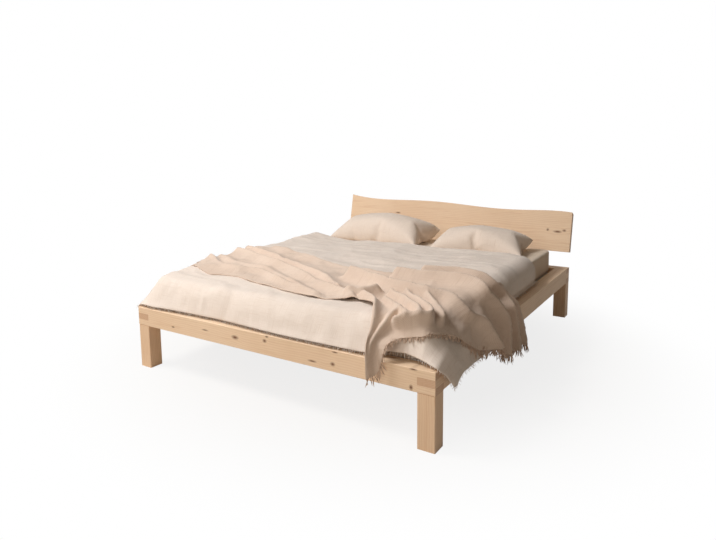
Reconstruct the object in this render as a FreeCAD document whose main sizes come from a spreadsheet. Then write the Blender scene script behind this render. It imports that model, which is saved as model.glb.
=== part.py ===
import FreeCAD, Part
import math
import os
import re
import Sketcher
from FreeCAD import Placement, Rotation, Vector

# A bed of solid pine beams for a 1600 x 2000 mattress, made up with linen bedding.
# The origin is on the floor under the middle of the bed, +Y points to the head, +Z up.
doc = FreeCAD.newDocument("WoodenBed")

# Driving sizes: millimetres, degrees for the lean, whole numbers for the counts.
SIZES = {
    # Beam frame with open mortise and tenon corners
    "bed_width": 1800,
    "bed_length": 2200,
    "beam_width": 80,
    "beam_height": 100,
    "tenon_height": 34,
    "leg_height": 240,
    "edge_chamfer": 2.5,
    "joint_clearance": 0.2,
    "cut_overrun": 5,
    # Dowels that lock legs, fingers and tenons together
    "dowel_diameter": 24,
    "dowel_clearance": 0.2,
    "dowel_in_leg": 60,
    "dowel_cover": 18,
    # Slat ledges
    "ledge_width": 40,
    "ledge_height": 40,
    "ledge_end_gap": 2,
    # Middle beam on its own leg
    "centre_beam_width": 60,
    "stub_height": 20,
    "stub_length": 25,
    "centre_leg_side": 60,
    "centre_dowel_rise": 20,
    # Roll-out slats on two webbing straps
    "slat_count": 17,
    "slat_width": 75,
    "slat_thickness": 20,
    "slat_end_gap": 3,
    "slat_chamfer": 2,
    "strap_width": 25,
    "strap_thickness": 1.5,
    "strap_spacing": 800,
    "strap_end_gap": 40,
    # Headboard plank with a natural top edge, on two leaning posts
    "headboard_height": 298,
    "headboard_thickness": 40,
    "headboard_gap": 102,
    "headboard_lean": 12,
    "waney_drop": 12,
    "post_width": 60,
    "post_thickness": 40,
    "post_reach": 320,
    "post_spacing": 1100,
    "bolt_diameter": 10,
    "bolt_clearance": 0.2,
    "bolt_head": 22,
    "bolt_dome": 14,
    "bolt_head_height": 5,
    "bolt_end": 4,
    "washer_diameter": 24,
    "washer_thickness": 2,
    "nut_width": 18,
    "nut_height": 8,
    # Mattress and its fitted sheet
    "mattress_margin": 20,
    "mattress_height": 170,
    "mattress_corner": 60,
    "mattress_edge": 25,
    "soft_clearance": 0.4,
    "sheet_thickness": 2,
    "sheet_hem": 30,
    # Duvet that hangs to the rails, with one corner over the side rail
    "duvet_loft": 55,
    "duvet_overhang": 85,
    "bare_head": 520,
    "duvet_hem_inset": 15,
    "flap_thickness": 30,
    "flap_length": 190,
    "flap_drop": 95,
    # Throw across the foot half, hanging over the side and over the foot
    "throw_thickness": 8,
    "throw_fold": 22,
    "throw_drop": 205,
    "side_fall_thickness": 16,
    "side_fall_fold": 18,
    "tail_drop": 95,
    "tail_width": 120,
    "tail_thickness": 40,
    # Pillows, plump at the head side
    "pillow_meeting": 35,
    "pillow_gap": 30,
    "pillow_left_margin": 20,
    "pillow_left_depth": 450,
    "pillow_left_height": 205,
    "pillow_left_setback": 5,
    "pillow_right_margin": 60,
    "pillow_right_depth": 440,
    "pillow_right_height": 170,
    "pillow_right_setback": 60,
}

sheet = doc.addObject("Spreadsheet::Sheet", "Sizes")
for row, (alias, value) in enumerate(SIZES.items(), start=1):
    sheet.set(f"A{row}", alias)
    sheet.set(f"B{row}", str(value))
    sheet.setAlias(f"B{row}", alias)
doc.recompute()
size = {alias: float(sheet.get(alias)) for alias in SIZES}

# Levels and spans that several pieces share, as formulas on the sheet
RAIL_TOP = "(leg_height + beam_height)"
INNER_X = "(bed_width / 2 - beam_width)"
INNER_Y = "(bed_length / 2 - beam_width)"
CORNER_X = "((bed_width - beam_width) / 2)"
CORNER_Y = "((bed_length - beam_width) / 2)"
LEDGE_TOP = "(leg_height + ledge_height)"
SLAT_TOP = f"({LEDGE_TOP} + slat_thickness)"
FINGER = "((beam_height - tenon_height) / 2)"
STUB_CHEEK = "((ledge_height - stub_height) / 2)"

PARALLEL_SHARE = 0.001
ALONG_X = Vector(1, 0, 0)
ALONG_Y = Vector(0, 1, 0)
ALONG_Z = Vector(0, 0, 1)

nodes = []


def tied(formula):
    """Write a formula so that each size in it is read from the sheet."""
    return re.sub(r"[a-z]\w*", lambda word: "Sizes." + word.group(0), str(formula))


def bind(item, **formulas):
    """Tie properties of a document object to the sheet."""
    for name, formula in formulas.items():
        item.setExpression(name, tied(formula))


def place(item, x, y, z):
    """Tie the place of a document object to the sheet."""
    for axis, formula in zip("xyz", (x, y, z)):
        item.setExpression("Placement.Base." + axis, tied(formula))


def worked_out(formula):
    """The present value of a formula on the sheet, for shapes made by code."""
    return float(sheet.evalExpression(tied(formula)))


def node(item, label):
    """Name a finished piece; its label names its file."""
    item.Label = label
    nodes.append(item)
    return item


def origin_plane(body, role):
    return next(plane for plane in body.Origin.OriginFeatures if plane.Role == role)


def new_sketch(body, name, role):
    sketch = body.newObject("Sketcher::SketchObject", name)
    sketch.AttachmentSupport = [(origin_plane(body, role), "")]
    sketch.MapMode = "FlatFace"
    return sketch


def polyline(sketch, points):
    """A closed outline of straight lines, joined end to end."""
    count = len(points)
    for index in range(count):
        sketch.addGeometry(Part.LineSegment(points[index], points[(index + 1) % count]))
    for index in range(count):
        sketch.addConstraint(Sketcher.Constraint("Coincident", index, 2, (index + 1) % count, 1))


def dimension(sketch, formula, kind, *where):
    """A driving dimension of a sketch, tied to the sheet."""
    value = worked_out(formula)
    if kind == "Angle":
        value = math.radians(value)
    index = sketch.addConstraint(Sketcher.Constraint(kind, *where, value))
    sketch.setExpression(f"Constraints[{index}]", tied(formula))


def block(name, spans, foot, along=None, chamfer="edge_chamfer"):
    """A squared piece: a centred rectangle padded upwards, with its long edges planed off."""
    body = doc.addObject("PartDesign::Body", name)
    sketch = new_sketch(body, name + "_outline", "XY_Plane")
    half_x = worked_out(spans[0]) / 2
    half_y = worked_out(spans[1]) / 2
    corners = ((-1, -1), (1, -1), (1, 1), (-1, 1))
    polyline(sketch, [Vector(x * half_x, y * half_y, 0) for x, y in corners])
    for line, direction in enumerate(("Horizontal", "Vertical", "Horizontal", "Vertical")):
        sketch.addConstraint(Sketcher.Constraint(direction, line))
    sketch.addConstraint(Sketcher.Constraint("Symmetric", 0, 1, 1, 2, -1, 1))
    dimension(sketch, spans[0], "DistanceX", 0, 1, 0, 2)
    dimension(sketch, spans[1], "DistanceY", 1, 1, 1, 2)
    pad = body.newObject("PartDesign::Pad", name + "_pad")
    pad.Profile = sketch
    bind(pad, Length=spans[2])
    place(body, *foot)
    if along:
        doc.recompute()
        dress(body, "Chamfer", pad, parallel_edges(pad.Shape, along), Size=chamfer)
    return body


def parallel_edges(shape, direction):
    """Names of the straight edges that run in one direction."""
    names = []
    for index, edge in enumerate(shape.Edges, start=1):
        run = edge.Vertexes[-1].Point - edge.Vertexes[0].Point
        if run.cross(direction).Length < PARALLEL_SHARE * run.Length:
            names.append(f"Edge{index}")
    return names


def dress(body, kind, base, edge_names, **formula):
    """Chamfer or fillet the named edges of a body's last feature."""
    feature = body.newObject("PartDesign::" + kind, f"{base.Name}_{kind.lower()}")
    feature.Base = (base, edge_names)
    bind(feature, **formula)
    doc.recompute()


def box_tool(name, spans, foot):
    """A box that is cut away, given like a block by its spans and the middle of its foot."""
    tool = doc.addObject("Part::Box", name)
    bind(tool, Length=spans[0], Width=spans[1], Height=spans[2])
    place(tool, f"{foot[0]} - ({spans[0]}) / 2", f"{foot[1]} - ({spans[1]}) / 2", foot[2])
    return tool


def rod(name, radius, length, start, turn=None):
    """A round rod from its start along +Z, or along another axis after a turn."""
    cylinder = doc.addObject("Part::Cylinder", name)
    bind(cylinder, Radius=radius, Height=length)
    if turn:
        cylinder.Placement = Placement(Vector(), turn)
    place(cylinder, *start)
    return cylinder


def cone(name, wide, narrow, length, start, turn):
    """A bolt head that widens from its dome along the turned axis."""
    head = doc.addObject("Part::Cone", name)
    bind(head, Radius1=wide, Radius2=narrow, Height=length)
    head.Placement = Placement(Vector(), turn)
    place(head, *start)
    return head


def group(name, items):
    """Several separate solids in one object."""
    compound = doc.addObject("Part::Compound", name)
    compound.Links = items
    return compound


def cut(name, blank, tools):
    """A blank with its joints and holes cut into it."""
    result = doc.addObject("Part::Cut", name)
    result.Base = blank
    result.Tool = group(name + "_tools", tools)
    return result


def joined(name, first, second):
    result = doc.addObject("Part::Fuse", name)
    result.Base = first
    result.Tool = second
    return result


SIDES = (("left", "-1"), ("right", "1"))
ENDS = (("front", "-1"), ("rear", "1"))
TURN_TO_HEAD = Rotation(Vector(1, 0, 0), -90)

# Corner dowels: each rises from its leg through the lower finger and the tenon
# and stops blind in the upper finger, so the whole corner is locked by one pin.
DOWEL_LENGTH = "(dowel_in_leg + beam_height - dowel_cover)"
dowels = []
dowel_holes = {}
for end, toward in ENDS:
    for side, across in SIDES:
        corner = f"{end}_{side}"
        start = (f"{across} * {CORNER_X}", f"{toward} * {CORNER_Y}", "leg_height - dowel_in_leg")
        dowels.append(rod(f"dowel_{corner}", "dowel_diameter / 2", DOWEL_LENGTH, start))
        dowel_holes[corner] = rod(
            f"dowel_hole_{corner}",
            "dowel_diameter / 2 + dowel_clearance",
            f"{DOWEL_LENGTH} + dowel_clearance",
            start,
        )
node(group("CornerDowels", dowels), "corner_dowels")

# Legs: square blocks under the corners, bored from above for their dowels.
for end, toward in ENDS:
    for side, across in SIDES:
        corner = f"{end}_{side}"
        blank = block(
            f"leg_blank_{corner}",
            ("beam_width", "beam_width", "leg_height"),
            (f"{across} * {CORNER_X}", f"{toward} * {CORNER_Y}", "0"),
            ALONG_Z,
        )
        node(cut(f"Leg_{corner}", blank, [dowel_holes[corner]]), f"leg_{corner}")

# Posts' bolts pass through the head rail; their places serve rail, posts and hardware.
BOLT_HEIGHT_SHARES = (0.27, 0.73)
BOLT_LENGTH = "(beam_width + post_thickness + washer_thickness + nut_height + bolt_end)"
bolt_places = {
    side: [(f"{across} * post_spacing / 2", f"leg_height + {share} * beam_height")
           for share in BOLT_HEIGHT_SHARES]
    for side, across in SIDES
}
bolt_holes = {
    side: [rod(f"bolt_hole_{side}_{index}", "bolt_diameter / 2 + bolt_clearance",
               f"{BOLT_LENGTH} + cut_overrun", (x, f"{INNER_Y} - cut_overrun", z), TURN_TO_HEAD)
           for index, (x, z) in enumerate(bolt_places[side])]
    for side, across in SIDES
}

# Foot and head rails: forked at both ends to take the side rails' tenons, with a
# mortise in the inner face for the middle beam's stub tenon.
for end, toward in ENDS:
    blank = block(
        f"cross_rail_blank_{end}",
        ("bed_width", "beam_width", "beam_height"),
        ("0", f"{toward} * {CORNER_Y}", "leg_height"),
        ALONG_X,
    )
    tools = [box_tool(
        f"mortise_{end}",
        ("centre_beam_width + 2 * joint_clearance", "stub_length + joint_clearance + cut_overrun",
         "stub_height + 2 * joint_clearance"),
        ("0", f"{toward} * ({INNER_Y} + (stub_length + joint_clearance - cut_overrun) / 2)",
         f"leg_height + {STUB_CHEEK} - joint_clearance"),
    )]
    for side, across in SIDES:
        tools.append(box_tool(
            f"fork_{end}_{side}",
            ("beam_width + joint_clearance + cut_overrun", "beam_width + 2 * cut_overrun",
             "tenon_height + 2 * joint_clearance"),
            (f"{across} * ({CORNER_X} + (cut_overrun - joint_clearance) / 2)",
             f"{toward} * {CORNER_Y}", f"leg_height + {FINGER} - joint_clearance"),
        ))
        tools.append(dowel_holes[f"{end}_{side}"])
        if end == "rear":
            tools.extend(bolt_holes[side])
    label = "foot_rail" if end == "front" else "head_rail"
    node(cut(f"CrossRail_{end}", blank, tools), label)

# Side rails: the cheeks are sawn off at both ends, so a tenon a third of the beam's
# height runs through the fork and shows its end grain on the foot rail's face.
for side, across in SIDES:
    blank = block(
        f"side_rail_blank_{side}",
        ("beam_width", "bed_length", "beam_height"),
        (f"{across} * {CORNER_X}", "0", "leg_height"),
        ALONG_Y,
    )
    tools = []
    for end, toward in ENDS:
        cheek_spans = (
            "beam_width + 2 * cut_overrun",
            "beam_width + joint_clearance + cut_overrun",
            f"{FINGER} + cut_overrun",
        )
        cheek_y = f"{toward} * ({CORNER_Y} + (cut_overrun - joint_clearance) / 2)"
        for level, foot_z in (
            ("lower", "leg_height - cut_overrun"),
            ("upper", f"leg_height + {FINGER} + tenon_height"),
        ):
            tools.append(box_tool(f"cheek_{end}_{side}_{level}", cheek_spans,
                                  (f"{across} * {CORNER_X}", cheek_y, foot_z)))
        tools.append(dowel_holes[f"{end}_{side}"])
    node(cut(f"SideRail_{side}", blank, tools), f"side_rail_{side}")

# Slat ledges: square battens along the inside of the side rails.
for side, across in SIDES:
    ledge = block(
        f"Ledge_{side}",
        ("ledge_width", f"2 * ({INNER_Y} - ledge_end_gap)", "ledge_height"),
        (f"{across} * ({INNER_X} - ledge_width / 2)", "0", "leg_height"),
        ALONG_Y,
    )
    node(ledge, f"slat_ledge_{side}")

# Middle beam: level with the ledges, a stub tenon at each end housed in the cross
# rails, and a leg of its own under the middle, pinned by a dowel.
centre_start = ("0", "0", "leg_height - dowel_in_leg")
CENTRE_DOWEL = "(dowel_in_leg + centre_dowel_rise)"
node(rod("CentreDowel", "dowel_diameter / 2", CENTRE_DOWEL, centre_start), "centre_dowel")
centre_hole = rod("centre_dowel_hole", "dowel_diameter / 2 + dowel_clearance",
                  f"{CENTRE_DOWEL} + dowel_clearance", centre_start)
blank = block(
    "centre_beam_blank",
    ("centre_beam_width", f"2 * ({INNER_Y} + stub_length)", "ledge_height"),
    ("0", "0", "leg_height"),
    ALONG_Y,
)
tools = [centre_hole]
for end, toward in ENDS:
    for level, foot_z in (
        ("lower", "leg_height - cut_overrun"),
        ("upper", f"leg_height + {STUB_CHEEK} + stub_height"),
    ):
        tools.append(box_tool(
            f"stub_cheek_{end}_{level}",
            ("centre_beam_width + 2 * cut_overrun", "stub_length + joint_clearance + cut_overrun",
             f"{STUB_CHEEK} + cut_overrun"),
            ("0", f"{toward} * ({INNER_Y} + (stub_length + cut_overrun - joint_clearance) / 2)",
             foot_z),
        ))
node(cut("CentreBeam", blank, tools), "centre_beam")
blank = block(
    "centre_leg_blank",
    ("centre_leg_side", "centre_leg_side", "leg_height"),
    ("0", "0", "0"),
    ALONG_Z,
)
node(cut("CentreLeg", blank, [centre_hole]), "centre_leg")

# Slats: planed boards laid across ledges and middle beam, spaced by two straps of
# webbing that are tacked to their undersides.
slat_count = int(size["slat_count"])
for index in range(slat_count):
    slat = block(
        f"Slat_{index + 1:02d}",
        (f"2 * ({INNER_X} - slat_end_gap)", "slat_width", "slat_thickness"),
        ("0", f"(2 * {index} + 1 - slat_count) * {INNER_Y} / slat_count", LEDGE_TOP),
        ALONG_X,
        "slat_chamfer",
    )
    node(slat, f"slat_{index + 1:02d}")
for side, across in SIDES:
    strap = block(
        f"Strap_{side}",
        ("strap_width", f"2 * ({INNER_Y} - strap_end_gap)", "strap_thickness"),
        (f"{across} * strap_spacing / 2", "0", f"{LEDGE_TOP} - strap_thickness"),
    )
    node(strap, f"slat_strap_{side}")

# Frame of the leaning headboard: its origin is on the head rail's back edge at rail
# top, its Y axis points backwards out of the board and its Z axis runs up the lean.
lean_frame = Placement(
    Vector(0, size["bed_length"] / 2, worked_out(RAIL_TOP)),
    Rotation(Vector(1, 0, 0), -size["headboard_lean"]),
)

# Headboard posts: sawn to a bent profile, upright where they are bolted to the head
# rail and leaning back above it.
for side, across in SIDES:
    name = f"post_blank_{side}"
    body = doc.addObject("PartDesign::Body", name)
    sketch = new_sketch(body, name + "_profile", "YZ_Plane")
    thick = size["post_thickness"]
    rise = size["beam_height"]
    lean = math.radians(size["headboard_lean"])
    up = Vector(math.sin(lean), math.cos(lean), 0)
    back = Vector(math.cos(lean), -math.sin(lean), 0)
    bend = Vector(0, rise, 0)
    tip = bend + up * size["post_reach"]
    polyline(sketch, [
        Vector(),
        bend,
        tip,
        tip + back * thick,
        Vector(thick, rise - thick * math.tan(lean / 2), 0),
        Vector(thick, 0, 0),
    ])
    sketch.addConstraint(Sketcher.Constraint("Coincident", 0, 1, -1, 1))
    sketch.addConstraint(Sketcher.Constraint("Vertical", 0))
    sketch.addConstraint(Sketcher.Constraint("Perpendicular", 1, 2))
    sketch.addConstraint(Sketcher.Constraint("Parallel", 1, 3))
    sketch.addConstraint(Sketcher.Constraint("Vertical", 4))
    sketch.addConstraint(Sketcher.Constraint("Horizontal", 5))
    dimension(sketch, "beam_height", "DistanceY", 0, 1, 0, 2)
    dimension(sketch, "post_reach", "Distance", 1)
    dimension(sketch, "post_thickness", "Distance", 2)
    dimension(sketch, "post_thickness", "DistanceX", 0, 1, 4, 2)
    dimension(sketch, "90 - headboard_lean", "Angle", 1)
    pad = body.newObject("PartDesign::Pad", name + "_pad")
    pad.Profile = sketch
    bind(pad, Length="post_width")
    place(body, f"{across} * post_spacing / 2 - post_width / 2", "bed_length / 2", "leg_height")
    node(cut(f"Post_{side}", body, bolt_holes[side]), f"headboard_post_{side}")

# Post bolts: mushroom heads inside the head rail, washers and nuts behind the posts.
bolts = []
washers = []
nuts = []
WASHER_Y = "(bed_length / 2 + post_thickness)"
NUT_Y = f"({WASHER_Y} + washer_thickness)"
for side, across in SIDES:
    for index, (x, z) in enumerate(bolt_places[side]):
        name = f"{side}_{index}"
        head = cone(f"bolt_head_{name}", "bolt_dome / 2", "bolt_head / 2",
                    "bolt_head_height", (x, f"{INNER_Y} - bolt_head_height", z), TURN_TO_HEAD)
        shank = rod(f"bolt_shank_{name}", "bolt_diameter / 2", f"{BOLT_LENGTH} + bolt_head_height / 2",
                    (x, f"{INNER_Y} - bolt_head_height / 2", z), TURN_TO_HEAD)
        bolts.append(joined(f"bolt_{name}", head, shank))
        disc = rod(f"washer_disc_{name}", "washer_diameter / 2", "washer_thickness",
                   (x, WASHER_Y, z), TURN_TO_HEAD)
        bore = rod(f"washer_bore_{name}", "bolt_diameter / 2 + bolt_clearance",
                   "washer_thickness + nut_height + 2 * cut_overrun",
                   (x, f"{WASHER_Y} - cut_overrun", z), TURN_TO_HEAD)
        washers.append(cut(f"washer_{name}", disc, [bore]))
        prism = doc.addObject("Part::Prism", f"nut_prism_{name}")
        prism.Polygon = 6
        bind(prism, Circumradius="nut_width / 3 ^ 0.5", Height="nut_height")
        prism.Placement = Placement(Vector(), TURN_TO_HEAD)
        place(prism, x, NUT_Y, z)
        nuts.append(cut(f"nut_{name}", prism, [bore]))
node(group("PostBolts", bolts), "post_bolts")
node(group("PostWashers", washers), "post_washers")
node(group("PostNuts", nuts), "post_nuts")

# Headboard: one wide plank. Its top edge keeps the natural line of the trunk, given
# as places across the width and heights up the board, and slopes to the back.
EDGE_PLACE_SHARES = (-1, -0.92, -0.71, -0.37, -0.06, 0.19, 0.42, 0.64, 0.84, 1)
EDGE_HEIGHT_SHARES = (1.10, 1.06, 1.01, 1.02, 1.01, 0.96, 0.925, 0.93, 0.95, 0.93)


def plank_outline(depth, drop):
    """The plank's outline in the leaning frame, at one depth through its thickness."""
    half = size["bed_width"] / 2
    foot = size["headboard_gap"]
    top = [
        Vector(half * place_share, depth, foot + size["headboard_height"] * height_share - drop)
        for place_share, height_share in zip(EDGE_PLACE_SHARES, EDGE_HEIGHT_SHARES)
    ]
    natural_edge = Part.BSplineCurve()
    natural_edge.interpolate(top)
    low_left = Vector(-half, depth, foot)
    low_right = Vector(half, depth, foot)
    return Part.Wire([
        Part.LineSegment(low_left, low_right).toShape(),
        Part.LineSegment(low_right, top[-1]).toShape(),
        natural_edge.toShape(),
        Part.LineSegment(top[0], low_left).toShape(),
    ])


plank = doc.addObject("Part::Feature", "Headboard")
plank.Shape = Part.makeLoft(
    [plank_outline(-size["headboard_thickness"], 0), plank_outline(0, size["waney_drop"])],
    True, True,
)
plank.Placement = lean_frame
node(plank, "headboard")

# Mattress: a soft block with rounded corners and bevelled edges, lying on the slats.
MATTRESS_SIDE = f"({INNER_X} - mattress_margin)"
MATTRESS_END = f"({INNER_Y} - mattress_margin)"
MATTRESS_FOOT = f"({SLAT_TOP} + soft_clearance)"
MATTRESS_TOP = f"({MATTRESS_FOOT} + mattress_height)"


def level_edges(shape, level):
    """Names of the edges that lie in one level plane."""
    slack = PARALLEL_SHARE * shape.BoundBox.ZLength
    return [
        f"Edge{index}"
        for index, edge in enumerate(shape.Edges, start=1)
        if abs(edge.BoundBox.ZMin - level) < slack and abs(edge.BoundBox.ZMax - level) < slack
    ]


def soft_block(name, grow, foot, rise):
    """The mattress's form, grown all round by a skin, from a foot level up."""
    body = block(
        name,
        (f"2 * ({MATTRESS_SIDE} + {grow})", f"2 * ({MATTRESS_END} + {grow})", rise),
        ("0", "0", foot),
    )
    doc.recompute()
    dress(body, "Fillet", body.Tip, parallel_edges(body.Tip.Shape, ALONG_Z),
          Radius=f"mattress_corner + {grow}")
    top = level_edges(body.Tip.Shape, body.Tip.Shape.BoundBox.ZMax)
    dress(body, "Chamfer", body.Tip, top, Size="mattress_edge")
    return body


mattress = soft_block("Mattress", "0", MATTRESS_FOOT, "mattress_height")
underside = level_edges(mattress.Tip.Shape, mattress.Tip.Shape.BoundBox.ZMin)
dress(mattress, "Chamfer", mattress.Tip, underside, Size="mattress_edge")
node(mattress, "mattress")

# Fitted sheet: a thin skin over the mattress's top and sides, hemmed near its foot.
SHEET_OUTSIDE = "soft_clearance + sheet_thickness"
SHEET_RISE = "(mattress_height - sheet_hem)"
sheet_outside = soft_block("sheet_outside", SHEET_OUTSIDE, f"{MATTRESS_FOOT} + sheet_hem",
                           f"{SHEET_RISE} + {SHEET_OUTSIDE}")
sheet_inside = soft_block("sheet_inside", "soft_clearance",
                          f"{MATTRESS_FOOT} + sheet_hem - cut_overrun",
                          f"{SHEET_RISE} + soft_clearance + cut_overrun")
node(cut("FittedSheet", sheet_outside, [sheet_inside]), "fitted_sheet")

# Levels that the loose bedding rests on
clear = size["soft_clearance"]
rail_top = worked_out(RAIL_TOP)
bed_face = worked_out(f"{MATTRESS_TOP} + {SHEET_OUTSIDE}") + clear
half_width = size["bed_width"] / 2
foot_face = -size["bed_length"] / 2
mattress_side = worked_out(MATTRESS_SIDE)
mattress_end = worked_out(MATTRESS_END)


def line(start, end):
    return Part.LineSegment(start, end).toShape()


def arc(start, middle, end):
    return Part.Arc(start, middle, end).toShape()


def waves(points, crests):
    """A run of arcs through the valleys of a fold, over a crest between each two."""
    return [arc(points[index], crest, points[index + 1]) for index, crest in enumerate(crests)]


def between(start, end, share):
    return start + (end - start) * share


# Duvet: crowned across the bed, its sides falling to the side rails and its foot end
# to the foot rail. Each section has a flat hem, two side arcs and a crown arc.
DUVET_STATION_SHARES = (0, 0.015, 0.035, 0.06, 0.1, 0.2, 0.34, 0.5, 0.65, 0.8, 0.93, 0.98, 1)
DUVET_RISE_SHARES = (0.22, 0.54, 0.8, 0.94, 0.98, 1, 1.02, 1.01, 0.99, 1, 1, 0.95, 0.8)
DUVET_LEFT_SHARES = (1, 1.04, 1.06, 1.03, 0.96, 0.86, 0.92, 0.99, 0.91, 0.85, 0.84, 0.78, 0.7)
DUVET_RIGHT_SHARES = (1.06, 1.06, 1.05, 1.02, 0.96, 0.88, 0.9, 0.96, 0.97, 0.9, 0.84, 0.74, 0.64)
DUVET_SHOULDER_SHARE = 0.45
DUVET_SIDE_SHARE = 0.55
DUVET_SHOULDER_RISE_SHARE = 0.9
duvet_rise = bed_face + size["duvet_loft"] - rail_top
duvet_front = foot_face + size["duvet_hem_inset"]
duvet_back = mattress_end - size["bare_head"]


def duvet_section(y, rise, left, right, grow):
    low = rail_top + clear - grow
    top = rail_top + rise + grow
    side = between(low, top, DUVET_SIDE_SHARE)
    shoulder = between(low, top, DUVET_SHOULDER_RISE_SHARE)
    hem_left = Vector(-mattress_side - left - grow, y, low)
    hem_right = Vector(mattress_side + right + grow, y, low)
    shoulder_left = Vector(-mattress_side - left * DUVET_SHOULDER_SHARE - grow, y, shoulder)
    shoulder_right = Vector(mattress_side + right * DUVET_SHOULDER_SHARE + grow, y, shoulder)
    return Part.Wire([
        line(hem_left, hem_right),
        arc(hem_right, Vector(hem_right.x, y, side), shoulder_right),
        arc(shoulder_right, Vector(0, y, top), shoulder_left),
        arc(shoulder_left, Vector(hem_left.x, y, side), hem_left),
    ])


def duvet_form(grow):
    """The duvet's outer form, grown by a clearance when other cloth lies on it."""
    sections = []
    for station, rise, left, right in zip(DUVET_STATION_SHARES, DUVET_RISE_SHARES,
                                          DUVET_LEFT_SHARES, DUVET_RIGHT_SHARES):
        y = between(duvet_front - grow, duvet_back + grow, station)
        overhang = size["duvet_overhang"]
        sections.append(duvet_section(y, duvet_rise * rise, overhang * left, overhang * right, grow))
    return Part.makeLoft(sections, True, True)


def hang_level(share, drop):
    """A level of hanging cloth: from the duvet's top at -1, past the rail's top at 0, to the drop at 1."""
    return rail_top - share * (drop if share > 0 else duvet_rise)


# The duvet's near corner slides over the side rail and hangs outside it, narrowing to a tip.
FLAP_LEVEL_SHARES = (-0.4, -0.15, -0.01, 0.5, 1)
FLAP_INSIDE_SHARES = (-2, -1, 0, 0, 0.2)
FLAP_FRONT_SHARES = (0.1, 0.1, 0.08, 0.22, 0.38)
FLAP_BACK_SHARES = (1, 1, 0.95, 0.78, 0.58)
FLAP_LEAN_SHARE = 0.5
FLAP_FOLD_SHARE = 0.45
FLAP_BULGE_SHARE = 0.3


def duvet_flap(grow):
    sections = []
    for level, inside, front, back in zip(FLAP_LEVEL_SHARES, FLAP_INSIDE_SHARES,
                                          FLAP_FRONT_SHARES, FLAP_BACK_SHARES):
        z = hang_level(level, size["flap_drop"])
        inner = half_width + clear + inside * size["flap_thickness"] - grow
        outer = half_width + clear + size["flap_thickness"] * (1 + inside * FLAP_LEAN_SHARE) + grow
        near = duvet_front + front * size["flap_length"] - grow
        far = duvet_front + back * size["flap_length"] + grow
        middle = between(near, far, FLAP_FOLD_SHARE)
        bulge = outer + size["flap_thickness"] * FLAP_BULGE_SHARE
        corners = [Vector(inner, near, z), Vector(outer, near, z), Vector(outer, far, z),
                   Vector(inner, far, z)]
        sections.append(Part.Wire([
            line(corners[0], corners[1]),
            arc(corners[1], Vector(bulge, middle, z), corners[2]),
            line(corners[2], corners[3]),
            line(corners[3], corners[0]),
        ]))
    return Part.makeLoft(sections, True, True)


skin = bed_face - worked_out(MATTRESS_TOP)
under_duvet = Part.makeBox(
    2 * (mattress_side + skin),
    2 * (mattress_end + skin),
    bed_face - rail_top + size["cut_overrun"],
    Vector(-mattress_side - skin, -mattress_end - skin, rail_top - size["cut_overrun"]),
)
duvet = doc.addObject("Part::Feature", "Duvet")
duvet.Shape = duvet_form(0).fuse(duvet_flap(0)).cut(under_duvet).removeSplitter()
node(duvet, "duvet")

# Throw: a woven blanket laid slantwise over the duvet in loose folds, with one side
# fall outside the right side rail and a gathered tail over the foot rail.
BAND_PLACE_SHARES = (-0.84, -0.62, -0.4, -0.12, 0.16, 0.4, 0.62, 0.92)
BAND_FRONT_SHARES = (0.13, 0.112, 0.108, 0.1, 0.082, 0.1, 0.084, 0.08)
BAND_BACK_SHARES = (0.405, 0.41, 0.38, 0.337, 0.328, 0.345, 0.35, 0.35)
BAND_FOLD_SHARES = (0.8, 1, 0.7)


def throw_band():
    sections = []
    folds = len(BAND_FOLD_SHARES)
    for across, front, back in zip(BAND_PLACE_SHARES, BAND_FRONT_SHARES, BAND_BACK_SHARES):
        x = half_width * across
        fall = duvet_rise * (1 - DUVET_SHOULDER_RISE_SHARE) * across ** 2
        valley = rail_top + duvet_rise - fall + size["throw_thickness"]
        low = valley - size["duvet_loft"]
        near = foot_face + size["bed_length"] * front
        far = foot_face + size["bed_length"] * back
        valleys = [Vector(x, between(near, far, step / folds), valley) for step in range(folds + 1)]
        crests = [
            Vector(x, between(near, far, (step + 0.5) / folds), valley + size["throw_fold"] * share)
            for step, share in enumerate(BAND_FOLD_SHARES)
        ]
        low_near = Vector(x, near, low)
        low_far = Vector(x, far, low)
        sections.append(Part.Wire(
            [line(low_near, valleys[0])] + waves(valleys, crests)
            + [line(valleys[-1], low_far), line(low_far, low_near)]
        ))
    return Part.makeLoft(sections, True, True)


# The side fall comes over the shoulder of the bed and hangs as a curtain: straight
# towards the bed, in waves outside.
FALL_LEVEL_SHARES = (-1.067, -0.85, -0.49, -0.011, 0.45, 1)
FALL_INSIDE_SHARES = (-7.5, -4.5, -1.5, 0, 0, 0.6)
FALL_OUTSIDE_SHARES = (-3.2, -1.2, 0.6, 1, 1, 1.6)
FALL_FRONT_SHARES = (0.1, 0.12, 0.155, 0.17, 0.19, 0.24)
FALL_BACK_SHARES = (0.35, 0.365, 0.4, 0.44, 0.465, 0.485)
FALL_FOLD_SHARES = (0.6, 1, 0.5, 0.9)


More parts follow.
